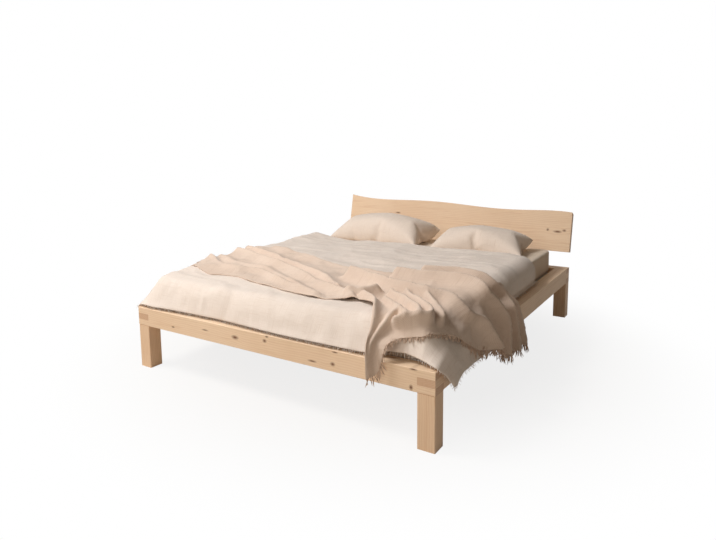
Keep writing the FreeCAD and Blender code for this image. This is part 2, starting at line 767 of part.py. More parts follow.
def throw_side_fall():
    sections = []
    folds = len(FALL_FOLD_SHARES)
    for level, inside, outside, front, back in zip(
            FALL_LEVEL_SHARES, FALL_INSIDE_SHARES, FALL_OUTSIDE_SHARES,
            FALL_FRONT_SHARES, FALL_BACK_SHARES):
        z = hang_level(level, size["throw_drop"])
        inner = half_width + clear + inside * size["side_fall_thickness"]
        outer = half_width + clear + outside * size["side_fall_thickness"]
        near = foot_face + size["bed_length"] * front
        far = foot_face + size["bed_length"] * back
        valleys = [Vector(outer, between(near, far, step / folds), z) for step in range(folds + 1)]
        crests = [
            Vector(outer + size["side_fall_fold"] * share, between(near, far, (step + 0.5) / folds), z)
            for step, share in enumerate(FALL_FOLD_SHARES)
        ]
        inner_near = Vector(inner, near, z)
        inner_far = Vector(inner, far, z)
        sections.append(Part.Wire(
            [line(inner_near, valleys[0])] + waves(valleys, crests)
            + [line(valleys[-1], inner_far), line(inner_far, inner_near)]
        ))
    return Part.makeLoft(sections, True, True)


# The tail is gathered: it comes off the band, over the hem and down the rail's face.
TAIL_LEVEL_SHARES = (-1.085, -0.96, -0.707, -0.328, -0.01, 0.5, 1)
TAIL_PLACE_SHARES = (0.5, 0.54, 0.6, 0.65, 0.67, 0.69, 0.7)
TAIL_INSIDE_SHARES = (10, 8, 4.5, 2, 0, 0, -0.1)
TAIL_OUTSIDE_SHARES = (5, 3.2, 1.2, -0.2, -0.75, -0.8, -0.75)
TAIL_WIDTH_SHARES = (1.5, 1.4, 1.2, 1.05, 1, 0.9, 0.75)
TAIL_BULGE_SHARE = 0.2
TAIL_VALLEY_SHARES = (-1, 0, 1)
TAIL_CREST_SHARES = (-0.5, 0.5)


def throw_tail():
    sections = []
    for level, across, inside, outside, wide in zip(
            TAIL_LEVEL_SHARES, TAIL_PLACE_SHARES, TAIL_INSIDE_SHARES,
            TAIL_OUTSIDE_SHARES, TAIL_WIDTH_SHARES):
        z = hang_level(level, size["tail_drop"])
        middle = half_width * across
        half = size["tail_width"] * wide / 2
        inner = foot_face - clear + inside * size["tail_thickness"]
        outer = foot_face - clear + outside * size["tail_thickness"]
        bulge = outer - size["tail_thickness"] * TAIL_BULGE_SHARE
        valleys = [Vector(middle + half * step, outer, z) for step in TAIL_VALLEY_SHARES]
        crests = [Vector(middle + half * step, bulge, z) for step in TAIL_CREST_SHARES]
        inner_left = Vector(middle - half, inner, z)
        inner_right = Vector(middle + half, inner, z)
        sections.append(Part.Wire(
            [line(inner_left, valleys[0])] + waves(valleys, crests)
            + [line(valleys[-1], inner_right), line(inner_right, inner_left)]
        ))
    return Part.makeLoft(sections, True, True)


throw_blanket = doc.addObject("Part::Feature", "Throw")
throw_blanket.Shape = (
    throw_band()
    .fuse([throw_side_fall(), throw_tail()])
    .cut([duvet_form(clear), duvet_flap(clear)])
    .removeSplitter()
)
node(throw_blanket, "throw_blanket")

# Pillows: flat below, plump towards the head, sides drawn in between the corners.
PILLOW_STATION_SHARES = (-1, -0.93, -0.76, -0.42, 0, 0.42, 0.76, 0.93, 1)
PILLOW_HEIGHT_SHARES = (0.12, 0.4, 0.7, 0.94, 1, 0.95, 0.72, 0.41, 0.12)
PILLOW_DEPTH_SHARES = (0.97, 0.99, 1, 0.965, 0.95, 0.965, 1, 0.985, 0.96)
# Points round a pillow's section, back from its middle and up its height
PILLOW_SECTION_SHARES = (
    (-0.88, 0), (0.9, 0), (0.99, 0.4), (0.86, 0.82), (0.5, 1), (0.1, 0.97), (-0.35, 0.8),
    (-0.72, 0.5), (-1, 0.16),
)


def pillow(name, start, end, back_y, deep, high):
    """A pillow between two places across the bed, its back at one place along it."""
    sections = []
    for station, rise, depth in zip(PILLOW_STATION_SHARES, PILLOW_HEIGHT_SHARES,
                                    PILLOW_DEPTH_SHARES):
        x = between((start + end) / 2, end, station)
        outline = [
            Vector(x, back_y + (back_share * depth - 1) * deep / 2, bed_face + rise_share * rise * high)
            for back_share, rise_share in PILLOW_SECTION_SHARES
        ]
        sections.append(Part.makePolygon(outline + outline[:1]))
    item = doc.addObject("Part::Feature", name)
    item.Shape = Part.makeLoft(sections, True, True)
    node(item, name)


pillow(
    "pillow_left",
    size["pillow_left_margin"] - mattress_side,
    size["pillow_meeting"] - size["pillow_gap"] / 2,
    mattress_end - size["pillow_left_setback"],
    size["pillow_left_depth"],
    size["pillow_left_height"],
)
pillow(
    "pillow_right",
    size["pillow_meeting"] + size["pillow_gap"] / 2,
    mattress_side - size["pillow_right_margin"],
    mattress_end - size["pillow_right_setback"],
    size["pillow_right_depth"],
    size["pillow_right_height"],
)

# Export: every object must have computed, and every piece must be a valid solid.
doc.recompute()
failed = [item.Name for item in doc.Objects if {"Invalid", "Error"} & set(item.State)]
if failed:
    raise RuntimeError("failed objects: " + ", ".join(failed))
for item in nodes:
    if item.Shape.isNull() or not item.Shape.isValid() or not item.Shape.Solids:
        raise RuntimeError("bad shape: " + item.Label)
os.makedirs("parts", exist_ok=True)
for item in nodes:
    item.Shape.exportStep(f"parts/{item.Label}.step")
    print(item.Label, len(item.Shape.Solids), round(item.Shape.Volume))
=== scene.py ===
import math
import bpy
import numpy as np
from mathutils import Matrix, Vector
from mathutils.bvhtree import BVHTree


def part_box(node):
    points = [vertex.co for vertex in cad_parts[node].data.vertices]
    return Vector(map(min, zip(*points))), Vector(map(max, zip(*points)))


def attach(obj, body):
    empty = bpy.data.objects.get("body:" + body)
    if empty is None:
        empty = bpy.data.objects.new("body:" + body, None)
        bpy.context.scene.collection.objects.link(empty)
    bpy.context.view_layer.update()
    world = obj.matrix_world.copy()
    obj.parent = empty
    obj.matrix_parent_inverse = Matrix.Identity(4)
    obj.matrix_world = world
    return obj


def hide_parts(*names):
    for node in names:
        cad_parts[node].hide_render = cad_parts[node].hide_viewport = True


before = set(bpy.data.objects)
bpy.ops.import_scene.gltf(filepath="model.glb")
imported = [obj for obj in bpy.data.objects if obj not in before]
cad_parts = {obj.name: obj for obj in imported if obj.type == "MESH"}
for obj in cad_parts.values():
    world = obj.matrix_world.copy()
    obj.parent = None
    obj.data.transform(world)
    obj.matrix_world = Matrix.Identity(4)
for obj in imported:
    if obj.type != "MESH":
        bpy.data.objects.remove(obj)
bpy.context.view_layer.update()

# BEAM FRAME: four planed pine beams. The side rails end in tenons that run through the
# forked ends of the foot and head rails, so their end grain shows at the corners.


def tint(red, green, blue):
    """A colour as it looks on screen, 0 to 255, as linear values."""
    parts = (part / 255 for part in (red, green, blue))
    return tuple(p / 12.92 if p < 0.04045 else ((p + 0.055) / 1.055) ** 2.4 for p in parts)


class Value:
    """A number that changes over a surface: sums with it add Math nodes to its finish."""

    def __init__(self, finish, socket):
        self.finish = finish
        self.socket = socket

    def maths(self, operation, *terms):
        return self.finish.add("ShaderNodeMath", {"operation": operation}, dict(enumerate(terms)))

    def __add__(self, other):
        return self.maths("ADD", self, other)

    __radd__ = __add__

    def __sub__(self, other):
        return self.maths("SUBTRACT", self, other)

    def __rsub__(self, other):
        return self.maths("SUBTRACT", other, self)

    def __mul__(self, other):
        return self.maths("MULTIPLY", self, other)

    __rmul__ = __mul__

    def __truediv__(self, other):
        return self.maths("DIVIDE", self, other)

    def __rtruediv__(self, other):
        return self.maths("DIVIDE", other, self)

    def __pow__(self, other):
        return self.maths("POWER", self, other)

    def __rpow__(self, other):
        return self.maths("POWER", other, self)

    def __abs__(self):
        return self.maths("ABSOLUTE", self)

    def larger(self, other):
        return self.maths("MAXIMUM", self, other)

    def sine(self):
        return self.maths("SINE", self)

    def fraction(self):
        return self.maths("FRACT", self)


class Nodes:
    """A node tree whose nodes are written as expressions."""

    def __init__(self, tree):
        self.tree = tree

    def feed(self, socket, value):
        if isinstance(value, Value):
            self.tree.links.new(value.socket, socket)
        else:
            socket.default_value = value

    def add(self, kind, settings=None, inputs=None, out=0):
        """A node with its settings first, then its sockets; out may name several outputs."""
        node = self.tree.nodes.new(kind)
        for name, value in (settings or {}).items():
            setattr(node, name, value)
        for name, value in (inputs or {}).items():
            self.feed(node.inputs[name], value)
        if isinstance(out, tuple):
            return [Value(self, node.outputs[name]) for name in out]
        return Value(self, node.outputs[out])

    def parts(self, vector):
        """The x, y and z of a vector."""
        return self.add("ShaderNodeSeparateXYZ", {}, {0: vector}, ("X", "Y", "Z"))


class Finish(Nodes):
    """A material made of such nodes."""

    def __init__(self, name):
        self.material = bpy.data.materials.new(name)
        self.material.use_nodes = True
        super().__init__(self.material.node_tree)
        self.shader = self.tree.nodes["Principled BSDF"]

    def place(self):
        """Where on its piece a point of the surface lies."""
        return self.add("ShaderNodeTexCoord", out="Object")

    def mix(self, share, first, second):
        """A colour between two colours or colour values."""
        ends = [end if isinstance(end, Value) else (*end, 1) for end in (first, second)]
        return self.add("ShaderNodeMix", {"data_type": "RGBA"}, {0: share, 6: ends[0], 7: ends[1]}, 2)

    def noise(self, vector, scale, detail=2.0, roughness=0.5):
        return self.add("ShaderNodeTexNoise", {}, {
            "Vector": vector, "Scale": scale, "Detail": detail, "Roughness": roughness})

    def vector(self, x, y, z):
        return self.add("ShaderNodeCombineXYZ", {}, {0: x, 1: y, 2: z})

    def smooth(self, value, low, high):
        return self.add("ShaderNodeMapRange", {"interpolation_type": "SMOOTHSTEP"}, {
            "Value": value, "From Min": low, "From Max": high})

    def bump(self, height, distance, strength=1.0):
        normal = self.add("ShaderNodeBump", {}, {
            "Height": height, "Distance": distance, "Strength": strength})
        self.set(Normal=normal)

    def set(self, **sockets):
        for name, value in sockets.items():
            self.feed(self.shader.inputs[name.replace("_", " ")], value)


RING_WIDTH = 0.0095
EARLY_WOOD = tint(242, 216, 186), tint(232, 200, 166)
LATE_WOOD = tint(216, 176, 138), tint(204, 160, 120)
STREAK_WOOD, FIBRE_WOOD, END_WOOD = tint(204, 156, 114), tint(184, 136, 96), tint(180, 132, 98)
WARM_WOOD, KNOT_WOOD = tint(200, 148, 102), tint(104, 62, 34)


def pine(name, along, pith, knots=(), face=0.0, warmth=0.0):
    """Pine with growth rings round a pith line, fibres along the grain, darker end grain and
    knots on a face given as (place along, place across, radius, stretch)."""
    wood = Finish(name)
    spot, facing = wood.add("ShaderNodeTexCoord", out=("Object", "Normal"))
    axes = wood.parts(spot)
    order = {"X": (0, 1, 2), "Y": (1, 0, 2), "Z": (2, 0, 1)}[along]
    run, side, rise = (axes[index] for index in order)

    def grain(stretch, scale, detail, roughness=0.5):
        """Noise drawn out along the grain."""
        return wood.noise(wood.vector(run * stretch, side, rise), scale, detail, roughness)

    # Distance from the pith, wavering slowly along the beam and finely across it
    drift = grain(0.55, 5.0, 2.0)
    flutter = grain(0.25, 38.0, 3.0)
    across = side - pith[0]
    up = rise - pith[1]
    radius = (across * across + up * up) ** 0.5 + drift * 0.030 + flutter * 0.0035
    # Each knot is a dark oval with a paler rim that pushes the rings round it apart
    knot_mask = None
    for place, level, size, stretch in knots:
        off = (run - place) / stretch
        gap = rise - level
        distance = (off * off + gap * gap) ** 0.5 + (flutter - 0.5) * size * 0.7
        on_face = wood.smooth(abs(side - face), 0.06, 0.03)
        knot = wood.smooth(distance, size * 1.25, size * 0.55) * on_face
        swell = wood.smooth(distance, size * 5.0, size * 0.5) * on_face
        radius = radius + swell * size * 0.9
        rim = wood.smooth(distance, size * 2.1, size) * on_face * 0.55
        both = knot.larger(rim)
        knot_mask = both if knot_mask is None else knot_mask.larger(both)
    # A ring darkens slowly to late wood and ends sharply
    ring = (radius / RING_WIDTH).fraction()
    late = ring ** 2.2 * wood.smooth(ring, 1.0, 0.9)
    fibre = grain(0.035, 620.0, 2.0, 0.6)
    streak = grain(0.06, 60.0, 3.0, 0.6)
    patch = wood.noise(spot, 3.2, 2.0)
    colour = wood.mix(late * 0.42, wood.mix(patch, *EARLY_WOOD), wood.mix(patch, *LATE_WOOD))
    colour = wood.mix(wood.smooth(streak, 0.5, 0.8) * 0.35, colour, STREAK_WOOD)
    colour = wood.mix(wood.smooth(fibre, 0.55, 0.75) * 0.18, colour, FIBRE_WOOD)
    end = wood.smooth(abs(wood.parts(facing)[order[0]]), 0.55, 0.9)
    colour = wood.mix(end * 0.5, colour, END_WOOD)
    if warmth:
        colour = wood.mix(warmth, colour, WARM_WOOD)
    roughness = 0.52 + late * 0.1 + fibre * 0.12
    if knot_mask is not None:
        colour = wood.mix(knot_mask * 0.9, colour, KNOT_WOOD)
        roughness = roughness - knot_mask * 0.12
    wood.set(Base_Color=colour, Roughness=roughness)
    wood.set(**{"Specular IOR Level": 0.35})
    wood.bump(late * 0.4 + fibre * 0.6, 0.0004, 0.5)
    return wood.material


def dress(material, *nodes):
    """Give carried-over pieces their finish."""
    for name in nodes:
        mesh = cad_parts[name].data
        mesh.materials.clear()
        mesh.materials.append(material)


FOOT_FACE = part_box("foot_rail")[0].y
FOOT_KNOTS = (
    (-0.171, 0.293, 0.0065, 2.2), (0.020, 0.310, 0.0060, 1.3), (0.034, 0.333, 0.0030, 2.0),
    (0.410, 0.275, 0.0060, 1.3), (0.422, 0.332, 0.0028, 3.5), (0.298, 0.267, 0.0030, 5.0),
    (-0.379, 0.295, 0.0026, 5.5), (0.802, 0.335, 0.0030, 4.0), (0.793, 0.256, 0.0075, 0.75),
    (-0.620, 0.270, 0.0030, 2.6),
)
SIDE_KNOTS, SIDE_FACE = ((-0.35, 0.31, 0.006, 1.8),), 0.9
dress(pine("pine_foot_rail", "X", (-1.02, 0.42), FOOT_KNOTS, FOOT_FACE), "foot_rail")
dress(pine("pine_head_rail", "X", (1.13, 0.19)), "head_rail")
dress(pine("pine_side_rail_left", "Y", (-0.80, 0.22)), "side_rail_left")
dress(pine("pine_side_rail_right", "Y", (0.80, 0.43), SIDE_KNOTS, SIDE_FACE), "side_rail_right")

# LEGS AND DOWELS: square pine blocks stand under the corners. A beech dowel rises from each
# leg through the joint above it.
LEG_WARMTH, DOWEL_WARMTH = 0.18, 0.3
for leg, pith in (
    ("leg_front_left", (-0.79, -1.15)),
    ("leg_front_right", (0.93, -1.14)),
    ("leg_rear_left", (-0.92, 1.00)),
    ("leg_rear_right", (0.79, 1.14)),
    ("centre_leg", (0.06, 0.05)),
):
    dress(pine("pine_" + leg, "Z", pith, warmth=LEG_WARMTH), leg)
dress(pine("pine_dowels", "Z", (0.02, 0.03), warmth=DOWEL_WARMTH), "corner_dowels", "centre_dowel")

# SLAT BASE: square ledges screwed to the side rails and a middle beam carry seventeen planed
# slats. Two straps of cotton webbing keep the slats apart.
for part, pith in (("slat_ledge_left", (-0.84, 0.20)), ("slat_ledge_right", (0.76, 0.21)),
                   ("centre_beam", (0.02, 0.30))):
    dress(pine("pine_" + part, "Y", pith), part)
SLATS = [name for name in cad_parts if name.startswith("slat_") and name[5:].isdigit()]
dress(pine("pine_slats", "X", (0.15, -0.02)), *SLATS)

WEB_RIBS, WEB_THREADS = 2400.0, 3200.0
webbing = Finish("cotton_webbing")
web_spot = webbing.place()
web_x, web_y = webbing.parts(web_spot)[:2]
web_weave = (web_y * WEB_RIBS).sine() * (web_x * WEB_THREADS).sine() * 0.5 + 0.5
web_wear = webbing.noise(web_spot, 45.0, 3.0)
webbing.set(
    Base_Color=webbing.mix(web_weave * 0.5 + web_wear * 0.4, tint(176, 164, 146), tint(222, 212, 196)),
    Roughness=0.85 + web_wear * 0.1)
webbing.bump(web_weave, 0.0004, 0.6)
dress(webbing.material, "slat_strap_left", "slat_strap_right")

steel = Finish("zinc_plated_steel")
steel_spot = steel.place()
spangle = steel.noise(steel_spot, 260.0, 3.0)
tarnish = steel.noise(steel_spot, 40.0, 4.0)
steel.set(
    Base_Color=steel.mix(tarnish, tint(188, 190, 192), tint(150, 148, 142)),
    Roughness=0.28 + spangle * 0.25, Metallic=1.0)
steel.bump(spangle, 0.0002, 0.3)


def put(name, data):
    """A new object in the scene."""
    item = bpy.data.objects.new(name, data)
    bpy.context.scene.collection.objects.link(item)
    return item


def new_piece(name, points, faces, material, uv=None):
    """A piece from points and faces, smooth shaded, with an optional place on flat cloth."""
    mesh = bpy.data.meshes.new(name)
    points = [tuple(map(float, point)) for point in points]
    mesh.from_pydata(points, [], [tuple(map(int, face)) for face in faces])
    mesh.materials.append(material)
    mesh.polygons.foreach_set("use_smooth", [True] * len(mesh.polygons))
    if uv is not None:
        corner = np.zeros(len(mesh.loops), int)
        mesh.loops.foreach_get("vertex_index", corner)
        mesh.uv_layers.new(name="cloth").data.foreach_set("uv", np.asarray(uv, float)[corner].ravel())
    mesh.update()
    return put(name, mesh)


def as_made(piece):
    """A piece's mesh with its modifiers worked in."""
    return bpy.data.meshes.new_from_object(piece.evaluated_get(bpy.context.evaluated_depsgraph_get()))


class Maker(Nodes):
    """A Geometry Nodes tree with named sizes, run on a guide mesh to make a plain piece."""

    KINDS = {int: "NodeSocketInt", float: "NodeSocketFloat", bpy.types.Material: "NodeSocketMaterial"}

    def __init__(self, name, **sizes):
        super().__init__(bpy.data.node_groups.new(name, "GeometryNodeTree"))
        self.name = name
        self.sizes = sizes
        rows = {"Geometry": "NodeSocketGeometry"}
        rows.update({size: self.KINDS[type(value)] for size, value in sizes.items()})
        self.sockets = {row: self.tree.interface.new_socket(row, in_out="INPUT", socket_type=kind)
                        for row, kind in rows.items()}
        self.tree.interface.new_socket("Geometry", in_out="OUTPUT", socket_type="NodeSocketGeometry")
        source = self.tree.nodes.new("NodeGroupInput")
        self.given = {row: Value(self, source.outputs[row]) for row in rows}

    def finish(self, geometry, smooth=True):
        """Realize the copies, give them the material and close the tree."""
        whole = self.add("GeometryNodeRealizeInstances", {}, {0: geometry})
        whole = self.add("GeometryNodeSetShadeSmooth", {}, {0: whole, "Shade Smooth": smooth})
        whole = self.add("GeometryNodeSetMaterial", {}, {0: whole, "Material": self.given["Material"]})
        self.feed(self.tree.nodes.new("NodeGroupOutput").inputs[0], whole)

    def run(self, points, **attributes):
        """The finished piece on a guide of loose points with vectors of their own."""
        guide = new_piece(self.name, points, [], self.sizes["Material"])
        for name, vectors in attributes.items():
            layer = guide.data.attributes.new(name, "FLOAT_VECTOR", "POINT")
            layer.data.foreach_set("vector", np.asarray(vectors, float).ravel())
        modifier = guide.modifiers.new(self.name, "NODES")
        modifier.node_group = self.tree
        for size, value in self.sizes.items():
            modifier[self.sockets[size].identifier] = value
        made = as_made(guide)
        guide.modifiers.clear()
        guide.data = made
        return guide


def screws(name, points, axes, radius):
    """Round screw heads with a sunk drive at points of a face, each along its own axis."""
    tree = Maker(name, Radius=radius, Material=steel.material)
    head, crown = tree.add("GeometryNodeMeshCone", {}, {
        "Vertices": 14, "Radius Top": 0.6, "Radius Bottom": 1.0, "Depth": 0.45}, ("Mesh", "Top"))
    head, crown = tree.add("GeometryNodeExtrudeMesh", {}, {
        "Mesh": head, "Selection": crown, "Offset Scale": 0.0, "Individual": False}, ("Mesh", "Top"))
    head = tree.add("GeometryNodeScaleElements", {}, {"Geometry": head, "Selection": crown, "Scale": 0.55})
    head = tree.add("GeometryNodeExtrudeMesh", {}, {
        "Mesh": head, "Selection": crown, "Offset Scale": -0.3, "Individual": False}, "Mesh")
    axis = tree.add("GeometryNodeInputNamedAttribute", {"data_type": "FLOAT_VECTOR"}, {"Name": "axis"})
    turn = tree.add("FunctionNodeAlignRotationToVector", {"axis": "Z"}, {"Vector": axis})
    heads = tree.add("GeometryNodeInstanceOnPoints", {}, {
        "Points": tree.given["Geometry"], "Instance": head, "Rotation": turn, "Scale": tree.given["Radius"]})
    tree.finish(heads, smooth=False)
    piece = tree.run(points, axis=axes)
    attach(piece, "root")
    return piece


LEDGE_SCREWS = 4
LEDGE_SCREW_RADIUS = 0.0055
for ledge, inward in (("slat_ledge_left", 1), ("slat_ledge_right", -1)):
    low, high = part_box(ledge)
    face = high.x if inward > 0 else low.x
    margin = (high.y - low.y) / (2 * LEDGE_SCREWS)
    places = np.linspace(low.y + margin, high.y - margin, LEDGE_SCREWS)
    spots = [(face, y, (low.z + high.z) / 2) for y in places]
    screws(ledge + "_screws", spots, [(inward, 0, 0)] * LEDGE_SCREWS, LEDGE_SCREW_RADIUS)

# HEADBOARD: one wide pine plank with a natural top edge. It leans on two posts that are
# bolted to the head rail.
BOARD_FACE = 1.115
BOARD_KNOTS = (
    (0.744, 0.591, 0.0060, 1.0), (0.812, 0.582, 0.0058, 3.0), (0.856, 0.592, 0.0055, 1.6),
    (-0.45, 0.64, 0.0040, 3.5),
)
dress(pine("pine_headboard", "X", (1.20, 0.52), BOARD_KNOTS, BOARD_FACE), "headboard")
dress(pine("pine_post_left", "Z", (-0.60, 1.20)), "headboard_post_left")
dress(pine("pine_post_right", "Z", (0.60, 1.06)), "headboard_post_right")

HARDWARE = [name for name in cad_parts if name.endswith(("bolts", "washers", "nuts"))]
dress(steel.material, *HARDWARE)

BOARD_LEAN = math.radians(12)
POST_THICKNESS = 0.040
POST_SCREW_RISES = (0.16, 0.27)
POST_SCREW_RADIUS = 0.0065
board_up = np.array([0, math.sin(BOARD_LEAN), math.cos(BOARD_LEAN)])
board_back = np.array([0, math.cos(BOARD_LEAN), -math.sin(BOARD_LEAN)])
rail_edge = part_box("head_rail")[1]
for post in ("headboard_post_left", "headboard_post_right"):
    low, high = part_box(post)
    bend = np.array([(low.x + high.x) / 2, rail_edge.y, rail_edge.z])
    spots = [bend + board_back * POST_THICKNESS + board_up * rise for rise in POST_SCREW_RISES]
    screws(post + "_screws", spots, [board_back] * len(spots), POST_SCREW_RADIUS)

# MATTRESS: a foam block in striped cotton ticking, with a taped edge round its top and
# bottom. It lies on the slats between the rails.


def smoothstep(low, high, value):
    share = np.clip((np.asarray(value, float) - low) / (high - low), 0, 1)
    return share * share * (3 - 2 * share)


RIPPLE_CELLS = 32


def ripple(points, pitch, seed):
    """Smooth random values from -1 to 1 at points of two or three coordinates."""
    points = np.asarray(points, float)
    if points.shape[-1] == 2:
        points = np.concatenate([points, np.zeros(points.shape[:-1] + (1,))], -1)
    lattice = np.random.default_rng(seed).uniform(-1, 1, (RIPPLE_CELLS,) * 3)
    scaled = points / pitch
    cell = np.floor(scaled).astype(int)
    share = smoothstep(0, 1, scaled - cell)
    total = np.zeros(points.shape[:-1])
    for corner in np.ndindex(2, 2, 2):
        weight = np.ones(points.shape[:-1])
        for axis in range(3):
            weight = weight * (share[..., axis] if corner[axis] else 1 - share[..., axis])
        spot = tuple((cell[..., axis] + corner[axis]) % RIPPLE_CELLS for axis in range(3))
        total += weight * lattice[spot]
    return total


def gone_along(path):
    """How far along a path each of its points lies."""
    return np.concatenate([[0], np.cumsum(np.linalg.norm(np.diff(path, axis=0), axis=1))])


def between(at, stops, rows):
    """Rows of values at places between the stops that they are given for."""
    return np.stack([np.interp(at, stops, column) for column in np.transpose(rows)], -1)


CORNER_STEPS = 16


def rounded_outline(half_x, half_y, corner, count):
    """Points round a rectangle with round corners, evenly spaced."""
    path = []
    for sign_x, sign_y, start in ((1, 1, 0), (-1, 1, 90), (-1, -1, 180), (1, -1, 270)):
        for step in range(CORNER_STEPS + 1):
            angle = math.radians(start + 90 * step / CORNER_STEPS)
            path.append((sign_x * (half_x - corner) + corner * math.cos(angle),
                         sign_y * (half_y - corner) + corner * math.sin(angle)))
    path = np.array(path + path[:1])
    gone = gone_along(path)
    return between(np.linspace(0, gone[-1], count, endpoint=False), gone, path)


def ring_faces(levels, count):
    """Faces between rings of points, one above another, and a lid on the last ring."""
    faces = [(base + step, base + (step + 1) % count, base + count + (step + 1) % count, base + count + step)
             for base in range(0, (levels - 1) * count, count) for step in range(count)]
    return faces + [tuple(range((levels - 1) * count, levels * count))]


def subdivide(piece, levels=1):
    modifier = piece.modifiers.new("finer", "SUBSURF")
    modifier.levels = levels
    modifier.render_levels = levels


mattress_low, mattress_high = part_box("mattress")
MATTRESS_HALF = ((mattress_high.x - mattress_low.x) / 2, (mattress_high.y - mattress_low.y) / 2)
MATTRESS_RING = 240
MATTRESS_EASE = 0.004
MATTRESS_CORNER, LEAST_CORNER = 0.06, 0.01
# Each ring round the mattress: how far inside its side, and how far above its underside
TAPE_PROFILE = (
    (0.60, 0.000), (0.12, 0.000), (0.016, 0.002), (0.004, 0.006), (-0.003, 0.012), (0.003, 0.019),
    (0.000, 0.050), (-0.003, 0.085), (0.000, 0.120), (0.003, 0.151), (-0.003, 0.158), (0.004, 0.164),
    (0.016, 0.168), (0.12, 0.170), (0.60, 0.170),
)
mattress_points = []
for inset, rise in TAPE_PROFILE:
    half_x, half_y = (half - inset - MATTRESS_EASE for half in MATTRESS_HALF)
    ring = rounded_outline(half_x, half_y, max(MATTRESS_CORNER - inset, LEAST_CORNER), MATTRESS_RING)
    mattress_points += [(x, y, mattress_low.z + rise) for x, y in ring]
mattress_faces = ring_faces(len(TAPE_PROFILE), MATTRESS_RING) + [tuple(reversed(range(MATTRESS_RING)))]

TICK_STRIPES, TICK_THREADS = 90.0, 4000.0
ticking = Finish("striped_ticking")
tick_spot = ticking.place()
tick_x, tick_y = ticking.parts(tick_spot)[:2]
stripe = ticking.smooth((tick_x * TICK_STRIPES).sine(), 0.75, 0.9)
tick_weave = (tick_x * TICK_THREADS).sine() * (tick_y * TICK_THREADS).sine()
tick_soil = ticking.noise(tick_spot, 14.0, 3.0)
ticking.set(
    Base_Color=ticking.mix(stripe * 0.6 + tick_soil * 0.15, tint(236, 230, 218), tint(176, 168, 156)),
    Roughness=0.85 + tick_weave * 0.05)
ticking.bump(tick_weave + tick_soil * 3.0, 0.0006, 0.5)
mattress = new_piece("mattress_body", mattress_points, mattress_faces, ticking.material)
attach(mattress, "root")
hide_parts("mattress")

# FITTED SHEET: plain linen stretched over the mattress, gathered round its corners by an
# elastic hem below the rail tops.


def linen(name, light, dark, pitch, slub=0.5):
    """Woven flax on the flat cloth's own map: crossing threads, slubs and soft creases."""
    cloth = Finish(name)
    flat, spot = cloth.add("ShaderNodeTexCoord", out=("UV", "Object"))
    u, v = cloth.parts(flat)[:2]
    weave = (u * (math.tau / pitch)).sine() * (v * (math.tau / pitch)).sine() * 0.5 + 0.5
    slub_u = cloth.noise(cloth.vector(u * 0.05, v, 0.0), 0.5 / pitch, 2.0, 0.6)
    slub_v = cloth.noise(cloth.vector(u, v * 0.05, 0.3), 0.5 / pitch, 2.0, 0.6)
    threads = cloth.smooth(slub_u.larger(slub_v), 0.5, 0.8)
    crease = cloth.noise(spot, 26.0, 4.0, 0.6)
    patch = cloth.noise(spot, 4.0, 2.0)
    tone = weave * 0.25 + threads * slub + (patch - 0.5) * 0.5
    cloth.set(Base_Color=cloth.mix(tone, light, dark), Roughness=0.82 + weave * 0.12)
    cloth.set(**{"Sheen Weight": 0.25, "Sheen Roughness": 0.5, "Specular IOR Level": 0.2})
    cloth.bump(weave * 0.35 + threads * (0.9 * slub) + crease * 5.0, 0.0009, 0.55)
    return cloth.material


SHEET_PITCH = 0.0016
sheet_linen = linen("sheet_linen", tint(226, 208, 186), tint(196, 174, 150), SHEET_PITCH)
sheet_low, sheet_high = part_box("fitted_sheet")
SHEET_EASE = 0.0005
SHEET_HALF = (sheet_high.x - SHEET_EASE, sheet_high.y - SHEET_EASE)
SHEET_RING = 360
SHEET_CORNER, TOP_CORNER = 0.062, 0.004
# Rings as on the mattress, from the gathered hem over the shoulder to the middle
SHEET_PROFILE = (
    (0.016, 0.004), (0.004, 0.000), (0.002, 0.010), (0.002, 0.050), (0.002, 0.090), (0.002, 0.115),
    (0.0015, 0.127), (0.004, 0.135), (0.012, 0.1395), (0.030, 0.1412), (0.070, 0.1416), (0.150, 0.1418),
    (0.300, 0.1420), (0.480, 0.1422), (0.640, 0.1423), (0.760, 0.1424),
)
sheet_points, sheet_uv = [], []
for inset, rise in SHEET_PROFILE:
    corner = max(SHEET_CORNER - inset, TOP_CORNER)
    ring = rounded_outline(SHEET_HALF[0] - inset, SHEET_HALF[1] - inset, corner, SHEET_RING)
    low_share = 1 - smoothstep(0.0, 0.12, rise)
    pucker = 0.0022 * low_share * np.sin(np.arange(SHEET_RING) * 2.4 + 3 * ripple(ring, 0.08, 4))
    outward = ring / np.linalg.norm(ring, axis=1)[:, None]
    ring = ring + outward * np.minimum(pucker, 0.001)[:, None]
    spots = np.concatenate([ring, np.full((SHEET_RING, 1), sheet_low.z + rise)], 1)
    spots[:, 2] += 0.0016 * (ripple(ring, 0.11, 5) + 0.6 * ripple(ring, 0.05, 6)) * (rise > 0.13)
    sheet_points += spots.tolist()
    sheet_uv += [(x + inset, y + 0.7 * (sheet_high.z - sheet_low.z - rise)) for x, y in ring]
sheet_faces = ring_faces(len(SHEET_PROFILE), SHEET_RING)
fitted = new_piece("fitted_sheet_cloth", sheet_points, sheet_faces, sheet_linen, sheet_uv)
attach(fitted, "root")
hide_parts("fitted_sheet")

# DUVET: a light filling in a washed linen cover with a frayed flange round it. It lies on the
# mattress, falls to the rails, and its near corner hangs over the side rail.


def grid_faces(rows, cols):
    index = np.arange(rows * cols).reshape(rows, cols)
    return np.stack([index[:-1, :-1], index[:-1, 1:], index[1:, 1:], index[1:, :-1]], -1).reshape(-1, 4)


HOLD_GAP, HOLD_DEPTH, HOLD_GRIP = 0.005, 0.03, 20


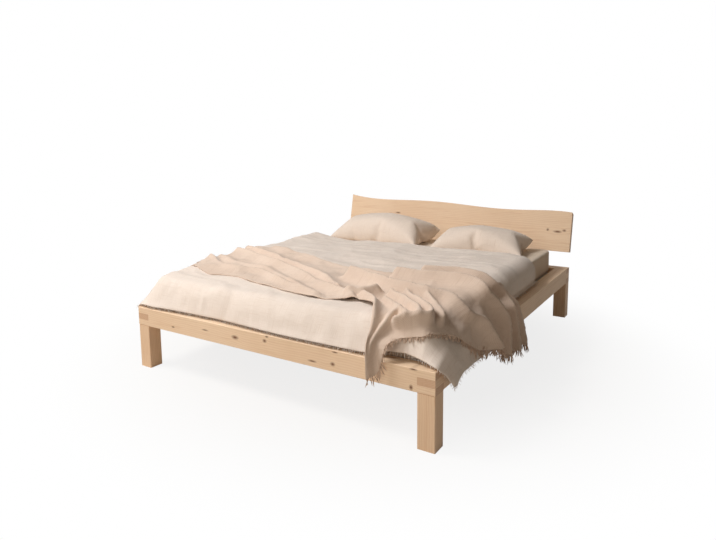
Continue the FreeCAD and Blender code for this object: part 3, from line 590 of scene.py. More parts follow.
def holder(name, mesh):
    """A copy of a neighbour that cloth falls onto while it settles."""
    body = put(name, mesh.copy())
    body.modifiers.new("hold", "COLLISION")
    body.collision.thickness_outer = HOLD_GAP
    body.collision.thickness_inner = HOLD_DEPTH
    body.collision.cloth_friction = HOLD_GRIP
    return body


def run_cloth(cloth, frames, stiff, bend, mass, damping=2.5):
    """Let a cloth settle for some frames, give back its points and remove it."""
    cloth_set = cloth.modifiers["cloth"].settings
    cloth_set.quality = 6
    cloth_set.mass = mass
    cloth_set.air_damping = damping
    cloth_set.tension_stiffness = stiff
    cloth_set.compression_stiffness = stiff
    cloth_set.shear_stiffness = stiff * 0.4
    cloth_set.bending_stiffness = bend
    for frame_number in range(1, frames + 1):
        bpy.context.scene.frame_set(frame_number)
    settled = as_made(cloth)
    points = np.zeros(len(settled.vertices) * 3)
    settled.vertices.foreach_get("co", points)
    bpy.context.scene.frame_set(1)
    bpy.data.objects.remove(cloth)
    return points.reshape(-1, 3)


def outward_normals(grid):
    normals = np.cross(np.gradient(grid, axis=1), np.gradient(grid, axis=0))
    return normals / np.maximum(np.linalg.norm(normals, axis=-1, keepdims=True), 1e-9)


def evened(field, passes):
    """A field of values over the cloth's grid, smoothed towards its neighbours."""
    for _ in range(passes):
        wide = np.pad(field, [(1, 1), (1, 1)] + [(0, 0)] * (field.ndim - 2), "edge")
        field = (wide[:-2, 1:-1] + wide[2:, 1:-1] + wide[1:-1, :-2] + wide[1:-1, 2:]) / 4
    return field


DUVET_STEP = 0.018
DUVET_BACK = 0.50
DUVET_LENGTH = 1.650
DUVET_WIDTH = 1.96
DUVET_LEFT, DUVET_RIGHT = -0.965, 0.925
DUVET_FALL_FRAMES = 46
duvet_rows = round(DUVET_LENGTH / DUVET_STEP)
duvet_cols = round(DUVET_WIDTH / DUVET_STEP)
duvet_v, duvet_u = np.meshgrid(np.linspace(0, 1, duvet_rows), np.linspace(0, 1, duvet_cols), indexing="ij")
# Flat above the bed, u from left to right and v from the foot; its near corner is drawn out
near_pull = np.clip(1 - duvet_v / 0.35, 0, 1) ** 1.5
duvet_left = DUVET_LEFT + 0.03 * duvet_v
duvet_right = DUVET_RIGHT + 0.14 * near_pull
duvet_x = duvet_left + (duvet_right - duvet_left) * duvet_u
duvet_y = DUVET_BACK - DUVET_LENGTH * (1 - duvet_v) + 0.085 * smoothstep(0.72, 1.0, duvet_u) * near_pull
bed_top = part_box("fitted_sheet")[1].z
duvet_flat = np.stack([duvet_x, duvet_y], -1)
duvet_lumps = 0.006 * ripple(duvet_flat, 0.10, 11) + 0.004 * ripple(duvet_flat, 0.045, 12)
duvet_grid = np.stack([duvet_x, duvet_y, bed_top + 0.02 + duvet_lumps], -1)
duvet_holders = [holder("hold_" + name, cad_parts[name].data)
                 for name in ("mattress", "foot_rail", "side_rail_left", "side_rail_right")]
falling = new_piece(
    "falling_duvet", duvet_grid.reshape(-1, 3), grid_faces(duvet_rows, duvet_cols), sheet_linen)
fall = falling.modifiers.new("cloth", "CLOTH")
fall.settings.shrink_min = -0.02
fall.collision_settings.distance_min = 0.004
fall.collision_settings.collision_quality = 3
settled_points = run_cloth(falling, DUVET_FALL_FRAMES, stiff=20, bend=0.8, mass=0.25)
duvet_grid = settled_points.reshape(duvet_grid.shape)
for body in duvet_holders:
    bpy.data.objects.remove(body)


def hem_line(stations, shares):
    """Places along a hem between stations of (share of its length, x, y, z)."""
    stops = np.array(stations)
    return between(shares, stops[:, 0], stops[:, 1:])


def bed_under(grid, gap=HOLD_GAP):
    """The height of what carries the cloth under each point."""
    plan, height = grid[..., :2], np.zeros(grid.shape[:2])
    for name in ("foot_rail", "side_rail_left", "side_rail_right", "mattress"):
        low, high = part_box(name)
        inside = ((plan > (low.x - gap, low.y - gap)) & (plan < (high.x + gap, high.y + gap))).all(-1)
        height = np.where(inside, np.maximum(height, high.z + gap), height)
    return height


# Hems as they lie: along the foot rail's edge, over its near corner and outside the side rails
FOOT_HEM = [
    (0.00, -0.925, -1.085, 0.325), (0.03, -0.885, -1.090, 0.347), (0.10, -0.780, -1.086, 0.347),
    (0.18, -0.625, -1.076, 0.350), (0.33, -0.327, -1.064, 0.350), (0.54, 0.100, -1.088, 0.349),
    (0.66, 0.350, -1.087, 0.349), (0.74, 0.560, -1.080, 0.348), (0.80, 0.660, -1.055, 0.366),
    (0.85, 0.745, -1.052, 0.373), (0.89, 0.815, -1.060, 0.362), (0.94, 0.893, -1.090, 0.347),
    (0.97, 0.922, -1.050, 0.305), (1.00, 0.928, -0.995, 0.243)]
NEAR_HEM = [
    (0.00, 0.928, -0.995, 0.243), (0.06, 0.932, -0.900, 0.280), (0.16, 0.930, -0.745, 0.275),
    (0.26, 0.928, -0.600, 0.273), (0.34, 0.915, -0.480, 0.310), (0.42, 0.870, -0.350, 0.346)]
FAR_HEM = [
    (0.00, -0.925, -1.085, 0.325), (0.06, -0.930, -0.990, 0.320), (0.20, -0.928, -0.760, 0.322),
    (0.50, -0.926, -0.300, 0.325), (0.80, -0.915, 0.170, 0.335), (0.90, -0.880, 0.330, 0.347)]
near_rows, far_rows = duvet_v[:, 0] < NEAR_HEM[-1][0], duvet_v[:, 0] < FAR_HEM[-1][0]
duvet_grid[0] = hem_line(FOOT_HEM, duvet_u[0])
duvet_grid[near_rows, -1] = hem_line(NEAR_HEM, duvet_v[near_rows, 0])
duvet_grid[far_rows, 0] = hem_line(FAR_HEM, duvet_v[far_rows, 0])
# The cloth beside the hems is relaxed between them and the rest, over what lies under it
loose = (duvet_v < 0.20) | ((duvet_u > 0.70) & (duvet_v < 0.46)) | ((duvet_u < 0.13) & (duvet_v < 0.94))
loose[[0, -1]] = False
loose[:, [0, -1]] = False
RELAXING_PASSES = 400
for _ in range(RELAXING_PASSES):
    duvet_grid = np.where(loose[..., None], evened(duvet_grid, 1), duvet_grid)
    duvet_grid[..., 2] = np.maximum(duvet_grid[..., 2], np.where(loose, bed_under(duvet_grid), 0))

# The filling: thin at the flange and the foot, full at the left, with lumps, creases and gathers
FLANGE_LOFT, DUVET_LOFT, LEFT_LOFT, FLANGE_WIDTH = 0.004, 0.038, 0.022, 0.075
front_gap = duvet_v * DUVET_LENGTH
edge_gap = np.minimum(
    np.minimum(duvet_u, 1 - duvet_u) * DUVET_WIDTH, np.minimum(duvet_v, 1 - duvet_v) * DUVET_LENGTH)
fill = smoothstep(0.0, FLANGE_WIDTH, edge_gap)
left_puff = smoothstep(-0.55, -0.84, duvet_x)
foot_thin = 1 - 0.4 * smoothstep(0.45, 0.15, front_gap)
puffs = 0.008 * ripple(duvet_flat, 0.26, 13) + 0.005 * ripple(duvet_flat, 0.11, 16)
loft = FLANGE_LOFT + fill * foot_thin * (DUVET_LOFT + LEFT_LOFT * left_puff + puffs)
long_crease = ripple(np.stack([duvet_x * 0.30 + 0.2 * duvet_y, duvet_y], -1), 0.085, 14)
fine_crease = ripple(np.stack([duvet_x * 0.6 - 0.5 * duvet_y, duvet_y], -1), 0.04, 15)
gathers = (1 - np.abs(ripple(np.stack([duvet_x + 0.25 * duvet_y, 0.12 * duvet_y], -1), 0.050, 18))) ** 3
loft += fill * (0.008 * (1 - np.abs(long_crease)) ** 3 + 0.0032 * (1 - np.abs(fine_crease)) ** 2)
loft += 0.007 * gathers * smoothstep(0.0, 0.02, front_gap) * smoothstep(0.20, 0.03, front_gap)
duvet_normals = outward_normals(evened(duvet_grid, 2))
ruffle = (1 - fill) * (0.003 + 0.008 * np.abs(ripple(duvet_flat, 0.034, 17)))
duvet_grid = duvet_grid + duvet_normals * ruffle[..., None]
duvet_top = duvet_grid + duvet_normals * loft[..., None]


def around(grid, inset=0):
    """What lies round a grid's edge, or a few rows inside it, at each place along the edge."""
    return np.concatenate(
        [grid[inset], grid[1:, -1 - inset], grid[-1 - inset, -2::-1], grid[-2:0:-1, inset]])


count = duvet_rows * duvet_cols
duvet_points = np.concatenate([duvet_top.reshape(-1, 3), duvet_grid.reshape(-1, 3)])
upper = grid_faces(duvet_rows, duvet_cols)
lower = upper[:, ::-1] + count
rim = around(np.arange(count).reshape(duvet_rows, duvet_cols))
rim_after = np.roll(rim, -1)
hem = np.stack([rim, rim + count, rim_after + count, rim_after], -1)
duvet_uv = np.concatenate([duvet_flat.reshape(-1, 2)] * 2)
LINEN_PITCH = 0.0018
DUVET_LIGHT, DUVET_DARK = tint(236, 223, 211), tint(219, 200, 184)
duvet_linen = linen("duvet_linen", DUVET_LIGHT, DUVET_DARK, LINEN_PITCH)
duvet_faces = np.concatenate([upper, lower, hem])
duvet = new_piece("duvet_cover", duvet_points, duvet_faces, duvet_linen, duvet_uv)
subdivide(duvet)
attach(duvet, "root")
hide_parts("duvet")


def fringe(name, edge, hang, spacing, length, thickness, spread, material, seed):
    """Loose yarns along a cut edge of cloth, each a bent, tapering strand that hangs its own way."""
    tree = Maker(name, Length=length, Thickness=thickness, Spread=spread, Seed=seed, Material=material)
    given = tree.given
    yarn = tree.add("GeometryNodeCurvePrimitiveLine", {}, {"Start": (0, 0, 0), "End": (0, 0, 1)})
    yarn = tree.add("GeometryNodeResampleCurve", {}, {"Curve": yarn, "Count": 5})
    z = tree.parts(tree.add("GeometryNodeInputPosition"))[2]
    bent = tree.add("ShaderNodeCombineXYZ", {}, {0: (z * 5.0).sine() * 1.4, 1: z * z * 2.2})
    yarn = tree.add("GeometryNodeSetPosition", {}, {"Geometry": yarn, "Offset": bent})
    yarn = tree.add("GeometryNodeSetCurveRadius", {}, {"Curve": yarn, "Radius": 1.0 - z * 0.5})
    round_yarn = tree.add("GeometryNodeCurvePrimitiveCircle", {}, {"Resolution": 5, "Radius": 1.0})
    yarn = tree.add("GeometryNodeCurveToMesh", {}, {
        "Curve": yarn, "Profile Curve": round_yarn, "Fill Caps": True})
    ways = tree.add("GeometryNodeInputNamedAttribute", {"data_type": "FLOAT_VECTOR"}, {"Name": "hang"})
    stray = tree.add("FunctionNodeRandomValue", {"data_type": "FLOAT_VECTOR"}, {
        0: (-1, -1, -1), 1: (1, 1, 1), "Seed": given["Seed"]})
    stray = tree.add("ShaderNodeVectorMath", {"operation": "SCALE"}, {0: stray, "Scale": given["Spread"]})
    straight = tree.add("ShaderNodeVectorMath", {"operation": "NORMALIZE"}, {0: ways})
    way = tree.add("ShaderNodeVectorMath", {"operation": "ADD"}, {0: straight, 1: stray})
    share = tree.add("ShaderNodeVectorMath", {"operation": "LENGTH"}, {0: ways}, "Value")
    turned = tree.add("FunctionNodeAlignRotationToVector", {"axis": "Z"}, {"Vector": way})
    spin = tree.add("FunctionNodeRandomValue", {}, {2: 0.0, 3: math.tau, "Seed": given["Seed"]}, 1)
    spin = tree.add("FunctionNodeAxisAngleToRotation", {}, {"Axis": (0, 0, 1), "Angle": spin})
    turned = tree.add("FunctionNodeRotateRotation", {"rotation_space": "LOCAL"}, {0: turned, 1: spin})
    cut = tree.add("FunctionNodeRandomValue", {}, {2: 0.7, 3: 1.2, "Seed": given["Seed"] + 1}, 1)
    size = tree.add("ShaderNodeCombineXYZ", {}, {
        0: given["Thickness"], 1: given["Thickness"], 2: given["Length"] * share * cut})
    yarns = tree.add("GeometryNodeInstanceOnPoints", {}, {
        "Points": given["Geometry"], "Instance": yarn, "Rotation": turned, "Scale": size})
    tree.finish(yarns)
    gone = gone_along(edge)
    at = np.arange(spacing / 2, gone[-1], spacing)
    piece = tree.run(between(at, gone, edge), hang=between(at, gone, hang))
    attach(piece, "root")
    return piece


def yarn_finish(name, light, dark):
    """Loose twisted yarn: uneven colour and a hairy surface."""
    yarn = Finish(name)
    spot = yarn.place()
    shade = yarn.noise(spot, 90.0, 2.0)
    hair = yarn.noise(spot, 900.0, 2.0)
    yarn.set(Base_Color=yarn.mix(shade, light, dark), Roughness=0.85 + hair * 0.1)
    yarn.bump(hair, 0.0006, 0.6)
    return yarn.material


def away(edge, inner, sag, share=1.0):
    """Which way loose yarns lie at an edge, on from the cloth with some sag, and their share of
    the full length."""
    way = edge - inner
    way = way / np.maximum(np.linalg.norm(way, axis=-1, keepdims=True), 1e-9) - np.array([0, 0, sag])
    return way * (share / np.linalg.norm(way, axis=-1))[:, None]


FRAY_SAG = 0.1
duvet_edge = duvet_points[rim] * 0.6 + duvet_points[rim + count] * 0.4
fray_yarn = yarn_finish("fray_yarn", tint(243, 232, 221), DUVET_LIGHT)
fray = fringe(
    "duvet_fray", duvet_edge, away(duvet_edge, around(duvet_grid, 3), FRAY_SAG),
    spacing=0.0110, length=0.009, thickness=0.0005, spread=0.60, material=fray_yarn, seed=41)

# PILLOWS: feather pillows in linen cases, sewn flat along their edges, plump in the middle.
# They lie against the headboard side of the mattress.


PILLOW_GRID = 52, 34
PILLOW_START = 0.012
PILLOW_PRESSURE = 6.0
PILLOW_FRAMES = 25


def blow_up(width, depth, seed):
    """Two flat sheets sewn along their edges and filled: a plump pillow's points, faces, place on
    the flat cloth, and seam."""
    cols, rows = PILLOW_GRID
    v, u = np.meshgrid(np.linspace(-1, 1, rows), np.linspace(-1, 1, cols), indexing="ij")
    swell = PILLOW_START * (1 - u ** 4) * (1 - v ** 4)
    flat = np.stack([u * width / 2, v * depth / 2], -1)
    wave = 0.0015 * ripple(flat, 0.09, seed) * (1 - u ** 2) * (1 - v ** 2)
    top = np.concatenate([flat, (swell + wave)[..., None]], -1).reshape(-1, 3)
    bottom = np.concatenate([flat, (wave - swell)[..., None]], -1).reshape(-1, 3)
    index = np.arange(rows * cols).reshape(rows, cols)
    under = index + rows * cols
    edge = np.zeros((rows, cols), bool)
    edge[[0, -1]] = True
    edge[:, [0, -1]] = True
    under[edge] = index[edge]
    faces = np.concatenate([
        grid_faces(rows, cols),
        np.stack([under[:-1, :-1], under[1:, :-1], under[1:, 1:], under[:-1, 1:]], -1).reshape(-1, 4)])
    used = np.unique(faces)
    renumber = np.zeros(2 * rows * cols, int)
    renumber[used] = np.arange(len(used))
    points = np.concatenate([top, bottom])[used]
    uv = np.concatenate([flat.reshape(-1, 2), flat.reshape(-1, 2) + 2])[used]
    faces = renumber[faces]
    case = new_piece("filling_pillow", points, faces, sheet_linen)
    filling = case.modifiers.new("cloth", "CLOTH")
    filling.settings.use_pressure = True
    filling.settings.uniform_pressure_force = PILLOW_PRESSURE
    filling.settings.effector_weights.gravity = 0
    filling.collision_settings.use_collision = False
    points = run_cloth(case, PILLOW_FRAMES, stiff=25, bend=0.4, mass=0.2, damping=3)
    return points, faces, uv, renumber[index[edge]]


def turned(points, first, second, degrees):
    """Points turned from one axis towards another."""
    angle = math.radians(degrees)
    result = points.copy()
    result[:, first] = points[:, first] * math.cos(angle) - points[:, second] * math.sin(angle)
    result[:, second] = points[:, first] * math.sin(angle) + points[:, second] * math.cos(angle)
    return result


PILLOW_SEAM_RISE = 0.014
PILLOW_PRESS = 0.010
PILLOW_GAP = 0.002
PILLOW_SOFTENING = 8
pillow_linen = linen("pillow_linen", tint(237, 221, 206), tint(216, 195, 176), LINEN_PITCH)
for name, flat_size, turn, lean, seed in (
    ("pillow_left", (0.86, 0.53), -3.0, 8.0, 21),
    ("pillow_right", (0.74, 0.51), 5.0, 7.0, 22),
):
    low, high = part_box(name)
    points, faces, uv, seam = blow_up(*flat_size, seed)
    points = turned(turned(points, 1, 2, lean), 0, 1, turn)
    points -= (points.min(0) + points.max(0)) / 2
    points[:, :2] *= np.array([high.x - low.x, high.y - low.y]) / np.ptp(points[:, :2], axis=0)
    points[:, :2] += np.array([low.x + high.x, low.y + high.y]) / 2
    rise = points[:, 2] - points[seam, 2].min() + PILLOW_SEAM_RISE
    rise = PILLOW_PRESS * np.logaddexp(0, rise / PILLOW_PRESS)
    points[:, 2] = bed_top + PILLOW_GAP + rise * (high.z - bed_top) / rise.max()
    pillow = new_piece(name + "_case", points, faces, pillow_linen, uv)
    softer = pillow.modifiers.new("softer", "SMOOTH")
    softer.iterations = PILLOW_SOFTENING
    subdivide(pillow, 2)
    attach(pillow, "root")
    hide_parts(name)

# THROW: a heavy woven blanket tossed slantwise across the foot half, gathered in folds. One
# end falls over the side rail and over the foot, and its cut ends are twisted into fringe.


THROW_LEVEL = 0.560
# Over the bed's edges: place on the flat plan, place on the bed, and drop below THROW_LEVEL
SIDE_PATH = np.array([
    (-1.2, -1.2, 0.0), (0.76, 0.76, 0.0), (0.86, 0.845, -0.040), (0.93, 0.888, -0.090),
    (1.00, 0.904, -0.150), (1.10, 0.907, -0.248), (1.40, 0.912, -0.546)])
FOOT_PATH = np.array([
    (-1.60, -1.120, -0.556), (-1.25, -1.116, -0.206), (-1.18, -1.108, -0.138), (-1.08, -1.070, -0.062),
    (-1.00, -1.000, -0.020), (-0.93, -0.935, 0.0), (1.20, 1.20, 0.0)])


def unfold(plan):
    """Where a point of the throw lies when the bed's edges are folded down: past the side rail
    it hangs outside it, past the foot rail it hangs before it."""
    x, drop_x = np.moveaxis(between(plan[..., 0], SIDE_PATH[:, 0], SIDE_PATH[:, 1:]), -1, 0)
    y, drop_y = np.moveaxis(between(plan[..., 1], FOOT_PATH[:, 0], FOOT_PATH[:, 1:]), -1, 0)
    return np.stack([x, y, THROW_LEVEL + np.minimum(drop_x, drop_y)], -1)


def through(points, count):
    """A smooth line through points, evenly divided."""
    points = np.asarray(points, float)
    knots = gone_along(points[:, :2])
    dense = np.linspace(0, knots[-1], count)
    slopes = np.gradient(points, knots, axis=0)
    cell = np.clip(np.searchsorted(knots, dense, "right") - 1, 0, len(knots) - 2)
    span = (knots[cell + 1] - knots[cell])[:, None]
    t = ((dense - knots[cell])[:, None]) / span
    return ((2 * t ** 3 - 3 * t ** 2 + 1) * points[cell] + (t ** 3 - 2 * t ** 2 + t) * span * slopes[cell]
            + (-2 * t ** 3 + 3 * t ** 2) * points[cell + 1] + (t ** 3 - t ** 2) * span * slopes[cell + 1])


RAY_START, RAY_LENGTH = 0.14, 0.30


def height_over(grid, normals, holders):
    """How far outside the grid its holders lie along the normals; far inside where none does."""
    heights = np.full(grid.shape[:2], RAY_START - RAY_LENGTH)
    trees = [BVHTree.FromObject(item, bpy.context.evaluated_depsgraph_get()) for item in holders]
    for spot in np.ndindex(grid.shape[:2]):
        normal = Vector(normals[spot])
        source = Vector(grid[spot]) + normal * RAY_START
        for tree in trees:
            distance = tree.ray_cast(source, -normal, RAY_LENGTH)[3]
            if distance is not None:
                heights[spot] = max(heights[spot], RAY_START - distance)
    return heights


THROW_THICKNESS = 0.005
THROW_ROWS, THROW_COLS = 230, 180
# Lines across the throw on the flat plan, from its near end to its far one
THROW_LINES = [
    [(0.600, -1.350), (0.655, -1.335), (0.675, -1.250), (0.700, -1.160), (0.760, -1.125), (0.845, -1.095),
     (0.920, -1.025), (0.970, -0.940), (1.025, -0.860), (1.080, -0.785), (1.120, -0.700), (1.150, -0.590),
     (1.180, -0.480), (1.255, -0.370), (1.265, -0.200), (1.290, -0.020)],
    [(0.595, -1.170), (0.625, -1.110), (0.700, -1.020), (0.800, -0.940), (0.900, -0.800), (1.000, -0.620),
     (1.060, -0.420), (1.130, -0.090)],
    [(0.560, -1.010), (0.590, -0.950), (0.635, -0.880), (0.700, -0.780), (0.780, -0.640), (0.860, -0.500),
     (0.920, -0.350), (0.960, -0.190)],
    [(0.450, -0.910), (0.475, -0.820), (0.570, -0.650), (0.700, -0.470), (0.790, -0.320)],
    [(0.260, -0.965), (0.290, -0.840), (0.380, -0.640), (0.470, -0.470), (0.540, -0.340)],
    [(0.060, -0.955), (0.080, -0.830), (0.120, -0.680), (0.170, -0.520), (0.220, -0.390)],
    [(-0.160, -0.900), (-0.160, -0.800), (-0.150, -0.660), (-0.120, -0.500), (-0.090, -0.380)],
    [(-0.400, -0.860), (-0.420, -0.740), (-0.430, -0.560), (-0.430, -0.400), (-0.420, -0.260)],
    [(-0.620, -0.850), (-0.650, -0.700), (-0.680, -0.520), (-0.680, -0.330), (-0.670, -0.170)],
    [(-0.790, -0.800), (-0.840, -0.650), (-0.870, -0.500), (-0.870, -0.330), (-0.860, -0.190)]]
# Folds: height, width, how far the crest leans over, and the line that the crest follows
THROW_FOLDS = [
    (0.034, 0.024, 0.60, [(-0.80, -0.39), (-0.38, -0.55), (-0.16, -0.66), (0.16, -0.80), (0.38, -0.89)]),
    (0.030, 0.022, -0.60, [(-0.84, -0.26), (-0.46, -0.41), (-0.19, -0.55), (0.05, -0.66), (0.24, -0.78)]),
    (0.022, 0.024, 0.50, [(-0.66, -0.18), (-0.31, -0.32), (0.04, -0.43), (0.40, -0.50), (0.62, -0.53)]),
    (0.024, 0.024, 0.50, [(-0.82, -0.62), (-0.51, -0.76), (-0.33, -0.74), (-0.05, -0.85), (0.20, -0.93)]),
    (0.016, 0.024, 0.00, [(-0.84, -0.52), (-0.60, -0.62), (-0.36, -0.66), (-0.12, -0.77), (0.12, -0.88)]),
    (0.069, 0.025, 0.30, [(0.20, -0.62), (0.50, -0.71), (0.71, -0.745), (0.78, -0.735), (0.86, -0.75),
                          (0.925, -0.74), (0.97, -0.68), (1.05, -0.61), (1.123, -0.566), (1.20, -0.53)]),
    (0.069, 0.023, 0.30, [(0.42, -0.52), (0.62, -0.50), (0.81, -0.493), (0.883, -0.51), (0.921, -0.485),
                          (0.98, -0.453), (1.074, -0.414), (1.155, -0.41), (1.26, -0.40)]),
    (0.064, 0.021, 0.30, [(0.52, -0.40), (0.70, -0.345), (0.80, -0.331), (0.877, -0.325), (0.911, -0.295),
                          (1.01, -0.30), (1.127, -0.256), (1.227, -0.232), (1.29, -0.21)]),
    (0.050, 0.019, 0.30, [(0.86, -0.25), (0.95, -0.235), (1.05, -0.19), (1.15, -0.13), (1.30, -0.06)]),
    (0.040, 0.019, 0.25, [(0.56, -0.90), (0.595, -0.92), (0.635, -0.945), (0.684, -0.985), (0.730, -1.010)]),
    (0.052, 0.018, 0.25, [(0.55, -0.80), (0.585, -0.83), (0.635, -0.86), (0.694, -0.92), (0.765, -0.972),
                          (0.790, -1.00)]),
    (0.055, 0.018, 0.25, [(0.62, -0.78), (0.665, -0.83), (0.715, -0.87), (0.769, -0.923), (0.822, -0.965),
                          (0.832, -0.995), (0.800, -1.022), (0.740, -1.040), (0.700, -1.05)]),
    (0.046, 0.020, 0.25, [(0.66, -0.72), (0.715, -0.77), (0.755, -0.81), (0.80, -0.86), (0.861, -0.919)]),
    (0.030, 0.016, 0.30, [(0.675, -0.98), (0.655, -1.04), (0.64, -1.10), (0.63, -1.17), (0.62, -1.25),
                          (0.625, -1.34)]),
    (0.046, 0.024, 0.00, [(0.44, -0.87), (0.50, -0.92), (0.565, -0.995), (0.60, -1.08), (0.603, -1.20),
                          (0.605, -1.34)]),
    (0.048, 0.020, 0.00, [(0.35, -0.875), (0.41, -0.845), (0.45, -0.79)]),
]

lines = np.array([through(line, THROW_COLS) for line in THROW_LINES])
stations = gone_along(lines[:, THROW_COLS // 2])
throw_plan = np.stack([through(np.column_stack([lines[:, col], stations]), THROW_ROWS)[:, :2]
                       for col in range(THROW_COLS)], 1)
throw_flat = throw_plan.copy()
fold_height = np.zeros((THROW_ROWS, THROW_COLS))
# A fold's lean draws its steep side in, lets its slack side out and shifts its crest
CREST_POINTS = 60
DRAWN_IN, LET_OUT, CREST_SHIFT = 0.3, 0.6, 0.6
FOLD_ROUND, FOLD_END, FOLD_SUM = 1.5, 1.5, 0.25
wander = 0.012 * ripple(throw_flat, 0.13, 33)
for height, width, lean, line in THROW_FOLDS:
    crest = through(line, CREST_POINTS)
    offset = throw_flat[:, :, None] - crest
    nearest = np.linalg.norm(offset, axis=-1).argmin(-1)
    run = np.gradient(crest, axis=0)[nearest]
    run /= np.linalg.norm(run, axis=-1, keepdims=True)
    over = np.stack([-run[..., 1], run[..., 0]], -1)
    beside = np.take_along_axis(offset, nearest[..., None, None], 2)[:, :, 0]
    across = (beside * over).sum(-1) + wander
    past = np.abs((beside * run).sum(-1))
    steep = across * np.sign(lean) > 0
    reach = width * np.where(steep, 1 - DRAWN_IN * abs(lean), 1 + LET_OUT * abs(lean))
    share = np.exp(-(np.abs(across) / reach) ** FOLD_ROUND - (past / (FOLD_END * width)) ** 2)
    rise = height * share
    fold_height = np.maximum(fold_height, rise) + FOLD_SUM * np.minimum(fold_height, rise)
    throw_plan = throw_plan + over * (CREST_SHIFT * lean * height * share)[..., None]
# Small creases run slantwise along the throw
small = np.stack([throw_flat @ (0.35, -0.2), throw_flat @ (0.35, 0.9)], -1)
fold_height += 0.0035 * ripple(small, 0.045, 34) + 0.0015 * ripple(throw_flat, 0.03, 35)
FACING_PASSES, LYING_PASSES, RESTING_PASSES = 60, 24, 10
throw_normals = outward_normals(evened(unfold(throw_flat), FACING_PASSES))
throw_base = evened(unfold(throw_plan), LYING_PASSES)
# The throw rests on what lies under it, and hangs free past the edges
under_throw = [duvet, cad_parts["foot_rail"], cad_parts["side_rail_right"]]
resting = height_over(throw_base, throw_normals, under_throw)
hanging = smoothstep(0.08, 0.16, THROW_LEVEL - throw_base[..., 2])
resting = resting * (1 - hanging) + np.maximum(resting, 0.0) * hanging
resting = np.maximum(evened(resting, RESTING_PASSES), evened(resting, 1))
throw_grid = throw_base + throw_normals * (resting + THROW_THICKNESS + fold_height)[..., None]
THROW_LIGHT, THROW_DARK = tint(226, 205, 187), tint(168, 134, 107)
THROW_PITCH, THROW_SLUB = 0.0050, 0.16
throw_weave = linen("throw_weave", THROW_LIGHT, THROW_DARK, THROW_PITCH, THROW_SLUB)
throw_v, throw_u = np.meshgrid(np.linspace(0, 1, THROW_ROWS), np.linspace(0, 1, THROW_COLS), indexing="ij")
throw_uv = np.stack([throw_u * 1.05, throw_v * 1.75], -1).reshape(-1, 2)
throw = new_piece(
    "throw_cloth", throw_grid.reshape(-1, 3), grid_faces(THROW_ROWS, THROW_COLS), throw_weave, throw_uv)
wall = throw.modifiers.new("wall", "SOLIDIFY")
wall.thickness = THROW_THICKNESS
wall.offset = 0
fringe_yarn = yarn_finish("fringe_yarn", tint(228, 206, 187), tint(192, 160, 134))
for name, edge, core, sag, seed in (
    ("throw_fringe_near", throw_grid[0], throw_grid[4], 0.9, 42),
    ("throw_fringe_far", throw_grid[-1], throw_grid[-5], 0.4, 43),
):
    hang = away(edge, core, sag, 0.5 + 0.5 * smoothstep(0.42, 0.32, edge[:, 2]))
    fringe(
        name, edge, hang, spacing=0.0070, length=0.024, thickness=0.0012, spread=0.35,
        material=fringe_yarn, seed=seed)
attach(throw, "root")
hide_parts("throw_blanket")

# STUDIO: a pale floor that fades to white, a large soft lamp at the left like a window, a
# weak fill and the photograph's camera.
bpy.context.scene.view_settings.view_transform = "Standard"
paper = Finish("studio_paper")
reach = paper.add("ShaderNodeVectorMath", {"operation": "LENGTH"}, {0: paper.place()}, "Value")
paper.set(Base_Color=(*tint(210, 202, 192), 1), Roughness=0.9)


def looked_at(nodes):
    """1 for what the camera, a mirror or glass shows, 0 for the light that falls on things."""
    seen, mirrored, passed = nodes.add("ShaderNodeLightPath", out=(
        "Is Camera Ray", "Is Glossy Ray", "Is Transmission Ray"))
    return seen + mirrored + passed


white_paper = paper.add("ShaderNodeEmission", {}, {"Color": (1, 1, 1, 1), "Strength": 1.0})
paper_white = (0.82 + 0.18 * paper.smooth(reach, 0.9, 2.0)) * looked_at(paper)
paper_sum = paper.add("ShaderNodeMixShader", {}, {0: paper_white, 2: white_paper})
paper.tree.links.new(paper.shader.outputs[0], paper_sum.socket.node.inputs[1])
paper.tree.links.new(paper_sum.socket, paper.tree.nodes["Material Output"].inputs["Surface"])
FLOOR_HALF = 30
floor_corners = [(FLOOR_HALF * x, FLOOR_HALF * y, 0) for x, y in ((-1, -1), (1, -1), (1, 1), (-1, 1))]
floor = new_piece("studio_floor", floor_corners, [(0, 1, 2, 3)], paper.material)

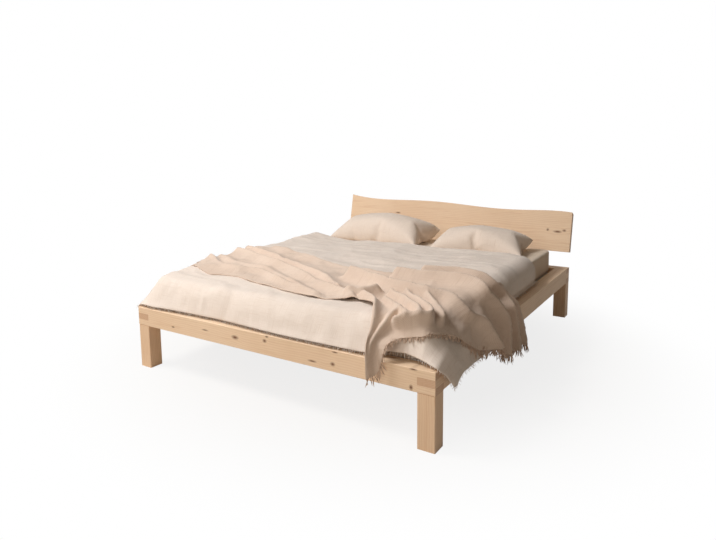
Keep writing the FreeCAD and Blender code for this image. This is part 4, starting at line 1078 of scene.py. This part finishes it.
world = bpy.data.worlds.new("studio_air")
bpy.context.scene.world = world
world.use_nodes = True
sky = Nodes(world.node_tree)
air = sky.add("ShaderNodeBackground", {}, {"Color": (1.0, 0.83, 0.66, 1), "Strength": 0.12})
white_air = sky.add("ShaderNodeBackground", {}, {"Color": (1, 1, 1, 1), "Strength": 1.0})
sky_sum = sky.add("ShaderNodeMixShader", {}, {0: looked_at(sky), 1: air, 2: white_air})
sky.feed(world.node_tree.nodes["World Output"].inputs[0], sky_sum)

LAMP_AIM = Vector((0, -0.2, 0.4))
for name, place, size, power, colour in (
    ("window_lamp", (-2.6, -2.5, 5.0), 1.8, 282.0, (0.97, 0.98, 1.0)),
    ("front_fill", (-0.2, -4.8, 2.7), 3.0, 62.0, (1.0, 0.93, 0.85)),
):
    lamp = bpy.data.lights.new(name, "AREA")
    lamp.shape = "SQUARE"
    lamp.size = size
    lamp.energy = power
    lamp.color = colour
    stand = put(name, lamp)
    stand.location = place
    stand.rotation_euler = (LAMP_AIM - Vector(place)).to_track_quat("-Z", "Y").to_euler()

CAMERA_PLACE = (1.8471, -3.1822, 1.2714)
CAMERA_YAW, CAMERA_PITCH, CAMERA_ROLL = 0.58950, 0.13276, -0.01474
PHOTO_WIDTH, PHOTO_HEIGHT = 716, 540
FOCAL, MIDDLE_X, MIDDLE_Y = 601.0, 338.85, 215.55
forward = Vector((-math.sin(CAMERA_YAW) * math.cos(CAMERA_PITCH),
                  math.cos(CAMERA_YAW) * math.cos(CAMERA_PITCH), -math.sin(CAMERA_PITCH)))
right = Vector((math.cos(CAMERA_YAW), math.sin(CAMERA_YAW), 0))
upward = right.cross(forward)
frame_x = right * math.cos(CAMERA_ROLL) + upward * math.sin(CAMERA_ROLL)
frame_y = upward * math.cos(CAMERA_ROLL) - right * math.sin(CAMERA_ROLL)
lens = bpy.data.cameras.new("photo_camera")
lens.sensor_width = 36
lens.lens = FOCAL / PHOTO_WIDTH * lens.sensor_width
lens.shift_x = (PHOTO_WIDTH / 2 - MIDDLE_X) / PHOTO_WIDTH
lens.shift_y = (MIDDLE_Y - PHOTO_HEIGHT / 2) / PHOTO_WIDTH
camera = put("photo_camera", lens)
camera_turn = Matrix((frame_x, frame_y, -forward)).transposed().to_4x4()
camera.matrix_world = Matrix.Translation(CAMERA_PLACE) @ camera_turn
bpy.context.scene.camera = camera
